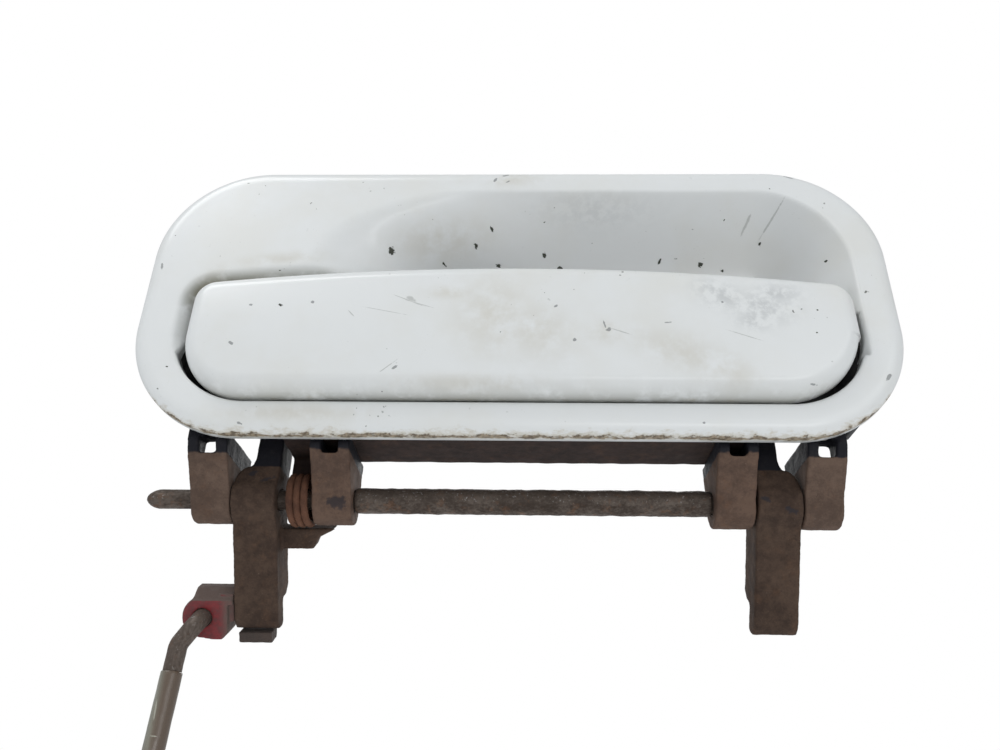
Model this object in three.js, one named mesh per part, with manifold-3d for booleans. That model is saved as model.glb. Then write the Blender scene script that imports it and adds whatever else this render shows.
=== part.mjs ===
// Exterior pull handle of a vehicle door: a painted bezel with a finger dish, a pull flap on two gooseneck
// arms, their hinge pin in four knuckles, a return spring, and a link rod in a swivelling clip.
//
// Frame: millimetres, X along the handle, Y into the door, Z up. The origin lies near the middle of the bezel,
// in the plane of the door skin that the rim's rear is clamped to. The handle's face looks along -Y.

import * as THREE from 'three';
import { mergeVertices } from 'three/addons/utils/BufferGeometryUtils.js';
import Module from 'manifold-3d';

const wasm = await Module();
wasm.setup();

// ---- Driving dimensions ---------------------------------------------------------------------------------

const GAP = 0.3; // between pieces that rest on each other
const FIT = 0.15; // around a pin, stud or stem in its hole
const PAST = 1; // how far a cutting shape runs past what it cuts
const ROUND_STEPS = 24; // sides of a round pin, eye or knuckle
const SMALL_ROUND_STEPS = 16; // sides of a stud, an ear or a sleeve
const SCREW_SIDES = 12; // sides of a screw or a small hole
const BEZEL_GRID = [44, 24]; // columns and rows of the curved sheets
const FLAP_GRID = [32, 12];

// Outlines seen from the front: boxes with rounded corners, the flap's with an arched top edge.
const RIM = {
  left: -91, right: 90.8, bottom: -38.5, top: 37,
  lowLeft: 28, lowRight: 28, highLeft: 27, highRight: 27, arch: 0,
};
const RECESS = {
  left: -81.5, right: 82, bottom: -31.4, top: 8.4,
  lowLeft: 20, lowRight: 20, highLeft: 7, highRight: 4, arch: 0.0008,
};
const FLAP = {
  left: -77.5, right: 79.8, bottom: -30.1, top: 4.9,
  lowLeft: 15, lowRight: 19.5, highLeft: 5.5, highRight: 5.5, arch: 0.00078,
};

// Section of the bezel.
const RIM_LIP = 1.7; // height of the rolled edge at the outline
const RIM_CROWN = 4.3; // height of the rim's face above the door skin
const RIM_ROLL = 4; // width of the rolled edge
const BEZEL_WALL = 2.6;
const RECESS_DROP = 6.5;
const RECESS_RUN = 4.5; // width of the slope from the rim down to the recess floor
const DISH = {
  left: -52, right: 82, top: 29.8, bottom: -18, // its bottom lies in the window
  runLeft: 42, runRight: 22, runTop: 23, drop: 17.8,
};
const WINDOW = { top: -6, topLeft: -77, margin: 0.5 }; // hole through the bezel behind the flap
const BOSSES = { left: [-66, 21], right: [66, 21], radius: 6.5, face: 18, stud: 3, sink: 5.6, reach: 36 };
const GASKET = { outer: 0.7, inner: 2.1, rear: 1.5 }; // insets from the rim's outline, and its rear face
const GASKET_ROOM = 2.2; // kept free beside and in front of the outer brackets
const BUFFER = { x: -71, z: -3.2, radius: 2.4, stem: 1.2, tail: 6 };

// The cover behind the window: a rear wall between two side walls, open below for the arms.
const COVER = {
  left: -82.3, right: 83.7, bottom: -28, top: 2, front: 21, sheet: 1.4, sideFront: 5.3,
  boss: 3.4, screwXs: [-4, 56], screwZ: -1.6,
};

// Flap section.
const FLAP_EDGE = -3.2; // y where its rounded edge starts
const FLAP_FACE = -8.3;
const FLAP_BULGE = 0.7; // extra height of the face along its middle
const FLAP_ROLL = 4.2;
const FLAP_REAR = -1.4;
const FLAP_LAND = 0.7; // thickness of the flap at its outline
const FLAP_CHAMFER = 2.6; // width of the chamfer along the edge of its rear
const FLAP_HOLLOW = { left: -49, right: 49, bottom: -25, top: -3, floor: -5.6 };
const FLAP_SCREW_ZS = [-22, -9.9];

// Hinge.
const PIN = { y: 16, z: -47.4, radius: 2.3, left: -88, right: 75, cone: 3.2, tip: 0.5 };
const KNUCKLE_RADIUS = 5.8;
const LEFT_OUTER = [-75.5, -66.2];
const LEFT_ARM = [-65.9, -55.6];
const SPRING_SPAN = [-53.8, -47.2];
const LEFT_INNER = [-47, -37.8];
const RIGHT_INNER = [46.2, 55.4];
const RIGHT_ARM = [55.9, 66.1];
const RIGHT_OUTER = [66.4, 75.3];
const RIB_SLOT = 4; // between the two ribs that a knuckle hangs by
const RIB_SLOT_BOTTOM = -40.2;
const OUTER_RIB_REAR = 8.2; // the rib at the far side of an outer bracket is this shallow
// Side view of the ribs: y of their front edge, its height, and where the front and rear edges meet the
// knuckle, as (y, height over the pin).
const KNEE = { front: 2.2, lip: 2.6, frontEnd: [4.2, 6.4], rearEnd: [21.4, 7.4] };
const TUBE_RADIUS = 3;

// Behind the rim's lower band: a ledge of the bezel, and under it the seats of the rail and outer brackets.
const LEDGE = { bottom: -34.1, top: -32.3, rear: 7.5 };
const SEAT = { bottom: -36, top: -34.4, rear: 22 };
const RAIL = { left: -54.6, right: 55.4, sheet: 1.6, rear: 20, rearTop: -26, tab: -41.2 };
const LEDGE_SCREWS = { left: -26, middle: 4, right: 34 };
const LEDGE_SCREW_Y = 4.3;
const FRONT_SEAT = 6.8; // rear end of the outer brackets' seat plates
const BRACKET_SCREW_Y = 15.4;

// Arms: a crank below the pin, leaning back, and a gooseneck above it.
const CRANK_LEAN = THREE.MathUtils.degToRad(32);
const CRANK_LENGTH = 30.6;
const CRANK = { front: -4.4, rear: 0.8, end: 2.5 }; // depths behind its centre line, and its end's rounding
const EYE_RADIUS = 6.1;
const EYE_TOP = -40.5;
const SHOULDER = { width: 3.6, height: 4.6, slope: 2.2 }; // rounded outer corner of the eye
const RIB = { width: 3, top: 4, bottom: 22, slope: 2, rear: 5.6 }; // along the inner side of the crank's rear
const NECK = { width: 6, front: 11.2, rear: 20.4, low: -19, high: -12.6, turn: 5.5, fillet: 1.5 };
const ARM_FOOT = { top: -7.5, bottom: -24.8, thick: 2.4 };
const ARM_PAD = { thick: 2.6, front: -4.2, rear: 0.6, taper: 0.4, left: 0.9, right: 1.6 };
const SCREW = { radius: 1.3, hole: 1.6, head: 2.1, headHeight: 1.7 };
const SHORT_SCREW = 3.8; // lengths of the screws under their heads
const LONG_SCREW = 6;

// Spring.
const COIL = { radius: 5.5, wire: 0.8, turns: 3 - CRANK_LEAN / (2 * Math.PI), leg: 13 };
// The left arm's web, which the lower leg pushes: its free end as (x, distance along the crank), and its depth.
const WEB = { end: [[-42.5, 6.7], [-46.6, 8.9], [-47.9, 11.6]], top: 6.7, bottom: 11.8, depth: [-0.6, 4.3] };

// Clip and link rod.
const EAR = { along: 25.2, behind: -1, radius: 1.8, end: -69.6 };
const HOOK = { x: -73.4, along: 27.2, tip: 2.4, elbow: -8.6 };
// The clip about the hook's centre: x to its right side, and distances along the crank down from it.
const CLIP = {
  front: -4.9, rear: 1.6, bore: 2.24, lobe: 4.9, right: 6, top: -4.1,
  foot: [[1.8, 5.2], [4.6, 5.2], [6, 3.8]], hoodLeft: -2.4, hoodTop: -6.3, hoodFront: -1.2,
  lugLeft: 4, lugTop: -5.4, lugBottom: 1.4, lugFront: -3.6,
};
const ROD_RADIUS = 2.12;
const ROD_BEND = 3.2;
const SHANK = { y: 24, top: [-76.9, -79.6], low: [-79.3, -128] };
const TAIL = { x: -71.1, y: 31.8, top: -143, bottom: -212.1, foot: 12 };
const SLEEVE = { inner: 2.22, outer: 2.45, top: -85.6, bottom: -124 };

// ---- Materials ------------------------------------------------------------------------------------------

function material(color, roughness, metalness) {
  return new THREE.MeshStandardMaterial({ color, roughness, metalness });
}

const PAINT = () => material('#dfe5e6', 0.3, 0);
const RUSTY_STEEL = () => material('#4d3d36', 0.85, 0.3);
const BLACK_STEEL = () => material('#242428', 0.6, 0.4);
const PIN_STEEL = () => material('#6b625a', 0.6, 0.7);
const ZINC = () => material('#8d8a80', 0.45, 0.8);
const SPRING_STEEL = () => material('#6a3f28', 0.8, 0.4);
const BLACK_PLASTIC = () => material('#1f1f22', 0.6, 0);
const RUBBER = () => material('#1c1b1c', 0.9, 0);
const RED_PLASTIC = () => material('#8a2a2c', 0.5, 0);
const SLEEVE_PLASTIC = () => material('#7b7f70', 0.35, 0);

// ---- Solids ---------------------------------------------------------------------------------------------

function solidOf(geometry) {
  const bare = geometry.clone();
  bare.deleteAttribute('normal');
  bare.deleteAttribute('uv');
  const merged = mergeVertices(bare, 1e-4);
  const { position } = merged.attributes;
  return new wasm.Manifold(new wasm.Mesh({
    numProp: 3,
    vertProperties: new Float32Array(position.array),
    triVerts: new Uint32Array(merged.index.array),
  }));
}

function geometryOf(solid) {
  const mesh = solid.getMesh();
  const geometry = new THREE.BufferGeometry();
  geometry.setAttribute('position', new THREE.BufferAttribute(mesh.vertProperties, 3));
  geometry.setIndex(new THREE.BufferAttribute(mesh.triVerts, 1));
  return geometry;
}

function join(first, ...others) {
  return geometryOf(others.reduce((sum, other) => sum.add(solidOf(other)), solidOf(first)));
}

function cut(first, ...others) {
  return geometryOf(others.reduce((rest, other) => rest.subtract(solidOf(other)), solidOf(first)));
}

// A straight extrusion of an outline; `basis` turns the outline's own axes into the handle's.
function extrusion(points, depth, basis, start) {
  const shape = new THREE.Shape(points.map(([u, v]) => new THREE.Vector2(u, v)));
  const geometry = new THREE.ExtrudeGeometry(shape, { depth, steps: 1, bevelEnabled: false });
  return geometry.applyMatrix4(basis.clone().setPosition(start));
}

const X = new THREE.Vector3(1, 0, 0);
const Y = new THREE.Vector3(0, 1, 0);
const Z = new THREE.Vector3(0, 0, 1);
const SIDE_VIEW = new THREE.Matrix4().makeBasis(Y, Z, X);
const FRONT_VIEW = new THREE.Matrix4().makeBasis(X, Z, Y.clone().negate());

// Outline in (y, z), extruded along X between the two ends of `span`.
function alongX(points, [from, to]) {
  return extrusion(points, to - from, SIDE_VIEW, new THREE.Vector3(from, 0, 0));
}

// Outline in (x, z), extruded along Y between the two ends of `span`.
function alongY(points, [from, to]) {
  return extrusion(points, to - from, FRONT_VIEW, new THREE.Vector3(0, to, 0));
}

// Points of an arc from angle a to angle b, in degrees, about (u, v).
function arc(u, v, radius, a, b, steps = ROUND_STEPS) {
  return Array.from({ length: steps + 1 }, (_, i) => {
    const angle = THREE.MathUtils.degToRad(a + ((b - a) * i) / steps);
    return [u + radius * Math.cos(angle), v + radius * Math.sin(angle)];
  });
}

function circle(u, v, radius, steps = ROUND_STEPS) {
  return arc(u, v, radius, 0, 360 - 360 / steps, steps - 1);
}

// A solid of revolution about a line parallel to X, from a profile of (radius, x) pairs.
function turnedX(profile, y, z, steps = ROUND_STEPS) {
  const points = profile.map(([radius, x]) => new THREE.Vector2(radius, x));
  const geometry = new THREE.LatheGeometry(points, steps);
  const basis = new THREE.Matrix4().makeBasis(Y, X, Z.clone().negate());
  return geometry.applyMatrix4(basis.setPosition(0, y, z));
}

// The same about a line parallel to Y, from (radius, y) pairs.
function turnedY(profile, x, z, steps = ROUND_STEPS) {
  const points = profile.map(([radius, y]) => new THREE.Vector2(radius, y));
  return new THREE.LatheGeometry(points, steps).translate(x, 0, z);
}

// The same about a line parallel to Z, from (radius, z) pairs.
function turnedZ(profile, x, y, steps = ROUND_STEPS) {
  const points = profile.map(([radius, z]) => new THREE.Vector2(radius, z));
  const geometry = new THREE.LatheGeometry(points, steps).rotateX(Math.PI / 2);
  return geometry.translate(x, y, 0);
}

// A round bar along a curve.
function bar(curve, radius, steps, sides) {
  const section = new THREE.Shape(circle(0, 0, radius, sides).map(([u, v]) => new THREE.Vector2(u, v)));
  return new THREE.ExtrudeGeometry(section, { steps, extrudePath: curve, bevelEnabled: false });
}

// ---- Outlines of the face -------------------------------------------------------------------------------

function topEdge(box, x) {
  return box.top - box.arch * x * x;
}

// Distance from (x, z) inwards to the edge of a box with rounded corners; negative outside it.
function inset(box, x, z) {
  const top = topEdge(box, x);
  const left = x < (box.left + box.right) / 2;
  const low = z < (box.bottom + top) / 2;
  const radius = low ? (left ? box.lowLeft : box.lowRight) : (left ? box.highLeft : box.highRight);
  const across = left ? x - box.left : box.right - x;
  const along = low ? z - box.bottom : top - z;
  const a = radius - across;
  const b = radius - along;
  return a > 0 && b > 0 ? radius - Math.hypot(a, b) : Math.min(across, along);
}

// How far a rounded corner pulls the top or bottom edge in, `across` from the box's side.
function cornerRise(radius, across) {
  if (across >= radius) return 0;
  return radius - Math.sqrt(Math.max(radius * radius - (radius - across) ** 2, 0));
}

function edgesAt(box, x) {
  const left = x < (box.left + box.right) / 2;
  const across = left ? x - box.left : box.right - x;
  const low = cornerRise(left ? box.lowLeft : box.lowRight, across);
  const high = cornerRise(left ? box.highLeft : box.highRight, across);
  return [box.bottom + low, topEdge(box, x) - high];
}

function clamp01(t) {
  return Math.min(Math.max(t, 0), 1);
}

function smooth(t) {
  return t * t * (3 - 2 * t);
}

// Even steps along 0..1, drawn together towards both ends so that rounded edges get more of them.
function crowded(t) {
  const even = 0.15;
  return even * t + (1 - even) * (1 - Math.cos(Math.PI * t)) / 2;
}

// A closed sheet inside a box outline: its front and rear are heights y over (x, z).
function sheet(box, columns, rows, front, rear) {
  const position = [];
  for (const height of [front, rear]) {
    for (let i = 0; i <= columns; i += 1) {
      const x = THREE.MathUtils.lerp(box.left, box.right, crowded(i / columns));
      const [low, high] = edgesAt(box, x);
      for (let j = 0; j <= rows; j += 1) {
        const z = THREE.MathUtils.lerp(low, high, crowded(j / rows));
        position.push(x, height(x, z), z);
      }
    }
  }
  const at = (side, i, j) => side * (columns + 1) * (rows + 1) + i * (rows + 1) + j;
  const index = [];
  const quad = (a, b, c, d) => index.push(a, b, c, a, c, d);
  for (let i = 0; i < columns; i += 1) {
    for (let j = 0; j < rows; j += 1) {
      quad(at(0, i, j), at(0, i + 1, j), at(0, i + 1, j + 1), at(0, i, j + 1));
      quad(at(1, i, j), at(1, i, j + 1), at(1, i + 1, j + 1), at(1, i + 1, j));
    }
    quad(at(0, i + 1, 0), at(0, i, 0), at(1, i, 0), at(1, i + 1, 0));
    quad(at(0, i, rows), at(0, i + 1, rows), at(1, i + 1, rows), at(1, i, rows));
  }
  for (let j = 0; j < rows; j += 1) {
    quad(at(0, 0, j), at(0, 0, j + 1), at(1, 0, j + 1), at(1, 0, j));
    quad(at(0, columns, j + 1), at(0, columns, j), at(1, columns, j), at(1, columns, j + 1));
  }
  const geometry = new THREE.BufferGeometry();
  geometry.setAttribute('position', new THREE.Float32BufferAttribute(position, 3));
  geometry.setIndex(index);
  return geometry;
}

// ---- Bezel ----------------------------------------------------------------------------------------------

function rolledEdge(distance, run) {
  return Math.sqrt(1 - (1 - clamp01(distance / run)) ** 2);
}

function dishDrop(x, z) {
  if (z < DISH.bottom) return 0;
  const side = Math.max(1 - (x - DISH.left) / DISH.runLeft, 1 - (DISH.right - x) / DISH.runRight, 0);
  const above = Math.max(1 - (DISH.top - z) / DISH.runTop, 0);
  const t = clamp01(1 - Math.hypot(side, above));
  const crisp = smooth(clamp01((x + 30) / 50)); // soft on the left, a clear edge on the right
  return DISH.drop * THREE.MathUtils.lerp(smooth(t), 1 - (1 - t) ** 2.4, crisp);
}

// Depth of the recess or the dish below the rim's face.
function hollowDepth(x, z) {
  const recess = RECESS_DROP * clamp01(inset(RECESS, x, z) / RECESS_RUN) ** 1.4;
  return Math.max(recess, dishDrop(x, z));
}

function bezelFront(x, z) {
  const crown = RIM_LIP + (RIM_CROWN - RIM_LIP) * rolledEdge(inset(RIM, x, z), RIM_ROLL);
  return hollowDepth(x, z) - crown;
}

function bezelRear(x, z) {
  return Math.max(hollowDepth(x, z) - RIM_CROWN + BEZEL_WALL, 0);
}

// The window: it follows the rim's inner edge below and on the right, and hides behind the flap elsewhere.
function windowOutline() {
  const { bottom, lowLeft: radius, left, right } = RECESS;
  const reach = radius - WINDOW.margin;
  return [
    [WINDOW.topLeft, WINDOW.top],
    ...arc(left + radius, bottom + radius, reach, 200, 270, 8),
    ...arc(right - radius, bottom + radius, reach, 270, 360, 10),
    [right - WINDOW.margin, WINDOW.top],
  ];
}

function box(xSpan, ySpan, zSpan) {
  const [x0, x1] = xSpan;
  const [z0, z1] = zSpan;
  return alongY([[x0, z0], [x1, z0], [x1, z1], [x0, z1]], ySpan);
}

function holeAlongY(x, z, radius, from, to) {
  return alongY(circle(x, z, radius, SCREW_SIDES), [from, to]);
}

function holeAlongZ(x, y, radius, from, to) {
  return turnedZ([[0, from], [radius, from], [radius, to], [0, to]], x, y, SCREW_SIDES);
}

function middle([from, to]) {
  return (from + to) / 2;
}

function makeBezel() {
  const shell = sheet(RIM, ...BEZEL_GRID, bezelFront, bezelRear);
  const opening = alongY(windowOutline(), [-20, 40]);
  const bossXZs = [BOSSES.left, BOSSES.right];
  const insideWall = (x, z) => bezelFront(x, z) + BEZEL_WALL / 2;
  const behind = sheet(RIM, ...BEZEL_GRID, insideWall, () => COVER.front + 6);
  const bosses = [
    ...bossXZs.map(([x, z]) => alongY(circle(x, z, BOSSES.radius), [-RIM_CROWN, BOSSES.face])),
    ...COVER.screwXs.map((x) => alongY(circle(x, COVER.screwZ, COVER.boss), [-RIM_CROWN, COVER.front - GAP])),
  ].map((boss) => geometryOf(solidOf(boss).intersect(solidOf(behind))));
  const ledgeSpans = [
    [LEFT_OUTER[0] + GASKET_ROOM, LEFT_OUTER[1]], [LEFT_INNER[0], RIGHT_INNER[1]],
    [RIGHT_OUTER[0], RIGHT_OUTER[1] - GASKET_ROOM],
  ];
  const ledges = ledgeSpans.map((span) => box(span, [-PAST, LEDGE.rear], [LEDGE.bottom, LEDGE.top]));
  const studHoles = bossXZs.map(([x, z]) =>
    holeAlongY(x, z, BOSSES.stud + FIT, BOSSES.face - BOSSES.sink - GAP, BOSSES.face + PAST));
  const ledgeHoles = [...Object.values(LEDGE_SCREWS), middle(LEFT_OUTER), middle(RIGHT_OUTER)].map((x) =>
    holeAlongZ(x, LEDGE_SCREW_Y, SCREW.hole, LEDGE.bottom - PAST, LEDGE.top + PAST));
  const bufferHole = holeAlongY(BUFFER.x, BUFFER.z, BUFFER.stem + FIT, 0, BUFFER.tail + PAST);
  const coverHoles = COVER.screwXs.map((x) =>
    holeAlongY(x, COVER.screwZ, SCREW.hole, COVER.front + COVER.sheet - LONG_SCREW, COVER.front));
  const pierced = cut(join(cut(shell, opening), ...bosses), ...studHoles, bufferHole, ...coverHoles);
  return cut(join(pierced, ...ledges), ...ledgeHoles);
}

function makeCover() {
  const { left, right, bottom, top, front, sheet: thick, sideFront, screwXs, screwZ } = COVER;
  const rear = front + thick;
  const height = [bottom, top];
  const wall = box([left, right], [front, rear], height);
  const sideSpans = [[left, left + thick], [right - thick, right]];
  const sides = sideSpans.map((span) => box(span, [sideFront, rear], height));
  const holes = screwXs.map((x) => holeAlongY(x, screwZ, SCREW.hole, front - PAST, rear + PAST));
  return cut(join(wall, ...sides), ...holes);
}

// The rim's outline, drawn in by `margin`.
function rimOutline(margin) {
  const { left, right, bottom, top, lowLeft, highLeft } = RIM;
  const corner = (x, z, radius, from) => arc(x, z, radius - margin, from, from + 90, 8);
  return [
    ...corner(right - highLeft, top - highLeft, highLeft, 0),
    ...corner(left + highLeft, top - highLeft, highLeft, 90),
    ...corner(left + lowLeft, bottom + lowLeft, lowLeft, 180),
    ...corner(right - lowLeft, bottom + lowLeft, lowLeft, 270),
  ];
}

function makeGasket() {
  const { outer, inner, rear } = GASKET;
  return cut(alongY(rimOutline(outer), [GAP, rear]), alongY(rimOutline(inner), [0, rear + PAST]));
}

// ---- Flap -----------------------------------------------------------------------------------------------

function flapFront(x, z) {
  const t = rolledEdge(inset(FLAP, x, z), FLAP_ROLL);
  const across = (z - FLAP.bottom) / (topEdge(FLAP, x) - FLAP.bottom);
  const bulge = FLAP_BULGE * Math.sin(Math.PI * clamp01(across)) * smooth(t);
  return FLAP_EDGE + (FLAP_FACE - FLAP_EDGE) * t - bulge;
}

// The rear is flat, chamfered along the edge so that it swings clear of the rim.
function flapRear(x, z) {
  const edge = FLAP_EDGE + FLAP_LAND;
  return FLAP_REAR + (edge - FLAP_REAR) * (1 - clamp01(inset(FLAP, x, z) / FLAP_CHAMFER));
}

function makeFlap() {
  const { left, right, bottom, top, floor } = FLAP_HOLLOW;
  const hollow = box([left, right], [floor, FLAP_REAR + PAST], [bottom, top]);
  const holes = [LEFT_ARM, RIGHT_ARM].flatMap((span) =>
    FLAP_SCREW_ZS.map((z) => holeAlongY(middle(span), z, SCREW.hole, floor, FLAP_REAR + PAST)));
  return cut(sheet(FLAP, ...FLAP_GRID, flapFront, flapRear), hollow, ...holes);
}

// ---- Arms -----------------------------------------------------------------------------------------------

// A point on the crank: `along` it from the pin, and `behind` its centre line.
function onCrank(along, behind) {
  const sin = Math.sin(CRANK_LEAN);
  const cos = Math.cos(CRANK_LEAN);
  return [PIN.y + along * sin + behind * cos, PIN.z - along * cos + behind * sin];
}

// Outline in (x, distance along the crank), extruded between two depths `behind` the crank's centre.
function throughCrank(points, [from, to]) {
  const [y, z] = onCrank(0, to);
  const up = new THREE.Vector3(0, -Math.sin(CRANK_LEAN), Math.cos(CRANK_LEAN));
  const forward = new THREE.Vector3(0, -Math.cos(CRANK_LEAN), -Math.sin(CRANK_LEAN));
  const basis = new THREE.Matrix4().makeBasis(X, up, forward);
  return extrusion(points.map(([x, along]) => [x, -along]), to - from, basis, new THREE.Vector3(0, y, z));
}

function crankProfile() {
  const { front, rear, end } = CRANK;
  return [
    onCrank(0, front), onCrank(CRANK_LENGTH - end, front), onCrank(CRANK_LENGTH - end / 4, front + end / 2.5),
    onCrank(CRANK_LENGTH, front + end), onCrank(CRANK_LENGTH, rear - end / 2.5),
    onCrank(CRANK_LENGTH - end / 2.5, rear), onCrank(0, rear),
  ];
}

function neckProfile() {
  const { front, rear, low, high, turn, fillet } = NECK;
  const face = FLAP_REAR + GAP;
  const foot = face + ARM_FOOT.thick;
  return [
    [front, PIN.z], [rear, PIN.z],
    ...arc(rear - turn, high - turn, turn, 0, 90, 6),
    [foot, high], [foot, ARM_FOOT.top], [face, ARM_FOOT.top], [face, ARM_FOOT.bottom],
    [foot, ARM_FOOT.bottom], [foot, low], [front - fillet, low], [front, low - fillet],
  ];
}

// The eye about the pin: round below, and drawn up to a flat top as wide as the neck is deep.
function eyeProfile() {
  return [
    ...arc(PIN.y, PIN.z, EYE_RADIUS, 150, 350, 18), [PIN.y + EYE_RADIUS, EYE_TOP], [NECK.front, EYE_TOP],
  ];
}

function ribProfile() {
  const { top, bottom, slope, rear } = RIB;
  return [
    onCrank(top - slope, 0), onCrank(bottom + slope, 0), onCrank(bottom + slope, rear - slope),
    onCrank(bottom, rear), onCrank(top, rear),
  ];
}

// Front outline of an arm: full width at the eye, with a rounded shoulder on the outer side, then the neck.
function armFrontOutline([from, to], outward) {
  const inner = outward < 0 ? to : from;
  const outer = outward < 0 ? from : to;
  const neck = inner + outward * NECK.width;
  const { width, height, slope } = SHOULDER;
  const corner = arc(0, 0, 1, 0, 90, 5).map(([u, v]) =>
    [outer + outward * width * (u - 1), EYE_TOP + height * (v - 1)]);
  return [
    [inner, PIN.z - 40], [outer, PIN.z - 40], ...corner, [neck, EYE_TOP + slope],
    [neck, ARM_FOOT.bottom - PAST], [outer, ARM_FOOT.bottom - PAST], [outer, 0], [inner, 0],
  ];
}

// An arm across `span`, its outer side towards `outward` (1 or -1), with a rib on the rear of its crank.
function armSolid(span, outward) {
  const [left, right] = span;
  const ribSpan = outward < 0 ? [right - RIB.width, right] : [left, left + RIB.width];
  const side = join(alongX(neckProfile(), span), alongX(eyeProfile(), span), alongX(crankProfile(), span));
  const front = alongY(armFrontOutline(span, outward), [-5, 45]);
  const shaped = geometryOf(solidOf(side).intersect(solidOf(front)));
  return join(shaped, alongX(ribProfile(), ribSpan));
}

function armHoles(span) {
  const holes = FLAP_SCREW_ZS.map((z) =>
    holeAlongY(middle(span), z, SCREW.hole, FLAP_REAR, ARM_FOOT.thick + PAST));
  return [...holes, pinBore(span)];
}

function makeLeftArm() {
  const [left, right] = LEFT_ARM;
  const web = throughCrank([[right - PAST, WEB.top], ...WEB.end, [right - PAST, WEB.bottom]], WEB.depth);
  const earAt = onCrank(EAR.along, EAR.behind);
  const ear = alongX(circle(...earAt, EAR.radius, SMALL_ROUND_STEPS), [EAR.end, left + PAST]);
  return cut(join(armSolid(LEFT_ARM, -1), web, ear), ...armHoles(LEFT_ARM));
}

function makeRightArm() {
  return cut(armSolid(RIGHT_ARM, 1), ...armHoles(RIGHT_ARM));
}

// ---- Rail, brackets, pin --------------------------------------------------------------------------------

function makeRail() {
  const { left, right, sheet: thick, rear, rearTop, tab } = RAIL;
  const section = [
    [GAP, SEAT.bottom], [rear, SEAT.bottom], [rear, rearTop], [rear - thick, rearTop],
    [rear - thick, SEAT.top], [GAP, SEAT.top],
  ];
  const holes = Object.values(LEDGE_SCREWS).map((x) => [x, LEDGE_SCREW_Y]);
  holes.push([middle(LEFT_INNER), BRACKET_SCREW_Y], [middle(RIGHT_INNER), BRACKET_SCREW_Y]);
  const endTab = box([left, LEFT_INNER[0] - GAP], [rear - thick, rear], [tab, SEAT.top]);
  return cut(join(alongX(section, [left, right]), endTab), ...holes.map(([x, y]) =>
    holeAlongZ(x, y, SCREW.hole, SEAT.bottom - PAST, SEAT.top + PAST)));
}

// Side outline of a knuckle and the ribs that it hangs by, from a flat top at z = `top`.
function kneeProfile(top) {
  const { y, z } = PIN;
  const { front, lip, frontEnd, rearEnd } = KNEE;
  return [
    [front, top], [front, top - lip], [frontEnd[0], z + frontEnd[1]],
    ...arc(y, z, KNUCKLE_RADIUS, 188, 375, 16),
    [rearEnd[0], z + rearEnd[1]], [SEAT.rear, top],
  ];
}

function pinBore([from, to]) {
  return alongX(circle(PIN.y, PIN.z, PIN.radius + FIT), [from - PAST, to + PAST]);
}

// The gap between a bracket's two ribs, as far back as `rear`.
function ribSlot(span, rear) {
  const centre = middle(span);
  return box([centre - RIB_SLOT / 2, centre + RIB_SLOT / 2], [0, rear], [RIB_SLOT_BOTTOM, SEAT.bottom]);
}

function makeInnerBracket(span) {
  const top = SEAT.bottom - GAP;
  const screw = holeAlongZ(middle(span), BRACKET_SCREW_Y, SCREW.hole, SEAT.top - LONG_SCREW, top + PAST);
  return cut(alongX(kneeProfile(top), span), pinBore(span), ribSlot(span, PIN.y - 5), screw);
}

// An outer bracket: two ribs that join in the knuckle below and in a seat plate above, in front. The rib on
// the `outward` side (1 or -1) is the shallow one.
function makeOuterBracket(span, outward) {
  const centre = middle(span);
  const plate = box(span, [GASKET_ROOM, FRONT_SEAT], [SEAT.bottom, SEAT.top]);
  const knee = alongX(kneeProfile(SEAT.bottom + PAST), span);
  const outer = outward < 0 ? span[0] : span[1];
  const spanBehind = [centre - (outward * RIB_SLOT) / 2, outer + outward * PAST].sort((a, b) => a - b);
  const behindRib = box(spanBehind, [OUTER_RIB_REAR, SEAT.rear + PAST], [RIB_SLOT_BOTTOM, SEAT.top + PAST]);
  const screw = holeAlongZ(centre, LEDGE_SCREW_Y, SCREW.hole, SEAT.bottom - PAST, SEAT.top + PAST);
  return cut(join(knee, plate), ribSlot(span, SEAT.rear + PAST), behindRib, pinBore(span), screw);
}

function makePin() {
  const { radius, left, right, cone, tip, y, z } = PIN;
  return turnedX([[0, left], [tip, left], [radius, left + cone], [radius, right], [0, right]], y, z);
}

function ringProfile(inner, outer, from, to) {
  return [[inner, from], [outer, from], [outer, to], [inner, to], [inner, from]];
}

// ---- Spring ---------------------------------------------------------------------------------------------

// The coil winds about the pin; one leg runs up behind the rail's end, the other down to the left arm's lug.
class SpringPath extends THREE.Curve {
  getPoint(t, target = new THREE.Vector3()) {
    const [left, right] = SPRING_SPAN;
    const sweep = COIL.turns * 2 * Math.PI;
    const along = t * (2 * COIL.leg + sweep * COIL.radius) - COIL.leg;
    const turn = THREE.MathUtils.clamp(along / (sweep * COIL.radius), 0, 1);
    const x = THREE.MathUtils.lerp(left + COIL.wire, right - COIL.wire, turn);
    const angle = CRANK_LEAN + turn * sweep;
    const over = along - turn * sweep * COIL.radius; // distance along a leg, zero in the coil
    const y = PIN.y + COIL.radius * Math.cos(angle) - over * Math.sin(angle);
    const z = PIN.z + COIL.radius * Math.sin(angle) + over * Math.cos(angle);
    return target.set(x, y, z);
  }
}

// ---- Rubber stops ---------------------------------------------------------------------------------------

// A domed pad on the recess floor, with a stem through it; the closed flap rests on it.
function makeFlapBuffer() {
  const { x, z, radius, stem, tail } = BUFFER;
  const floor = RECESS_DROP - RIM_CROWN;
  const top = FLAP_REAR + GAP;
  return turnedY([
    [0, top], [radius * 0.7, top], [radius, top + 0.9], [radius, floor - GAP], [stem, floor - GAP],
    [stem, tail - 0.8], [stem * 0.4, tail], [0, tail],
  ], x, z, SMALL_ROUND_STEPS);
}

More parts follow.
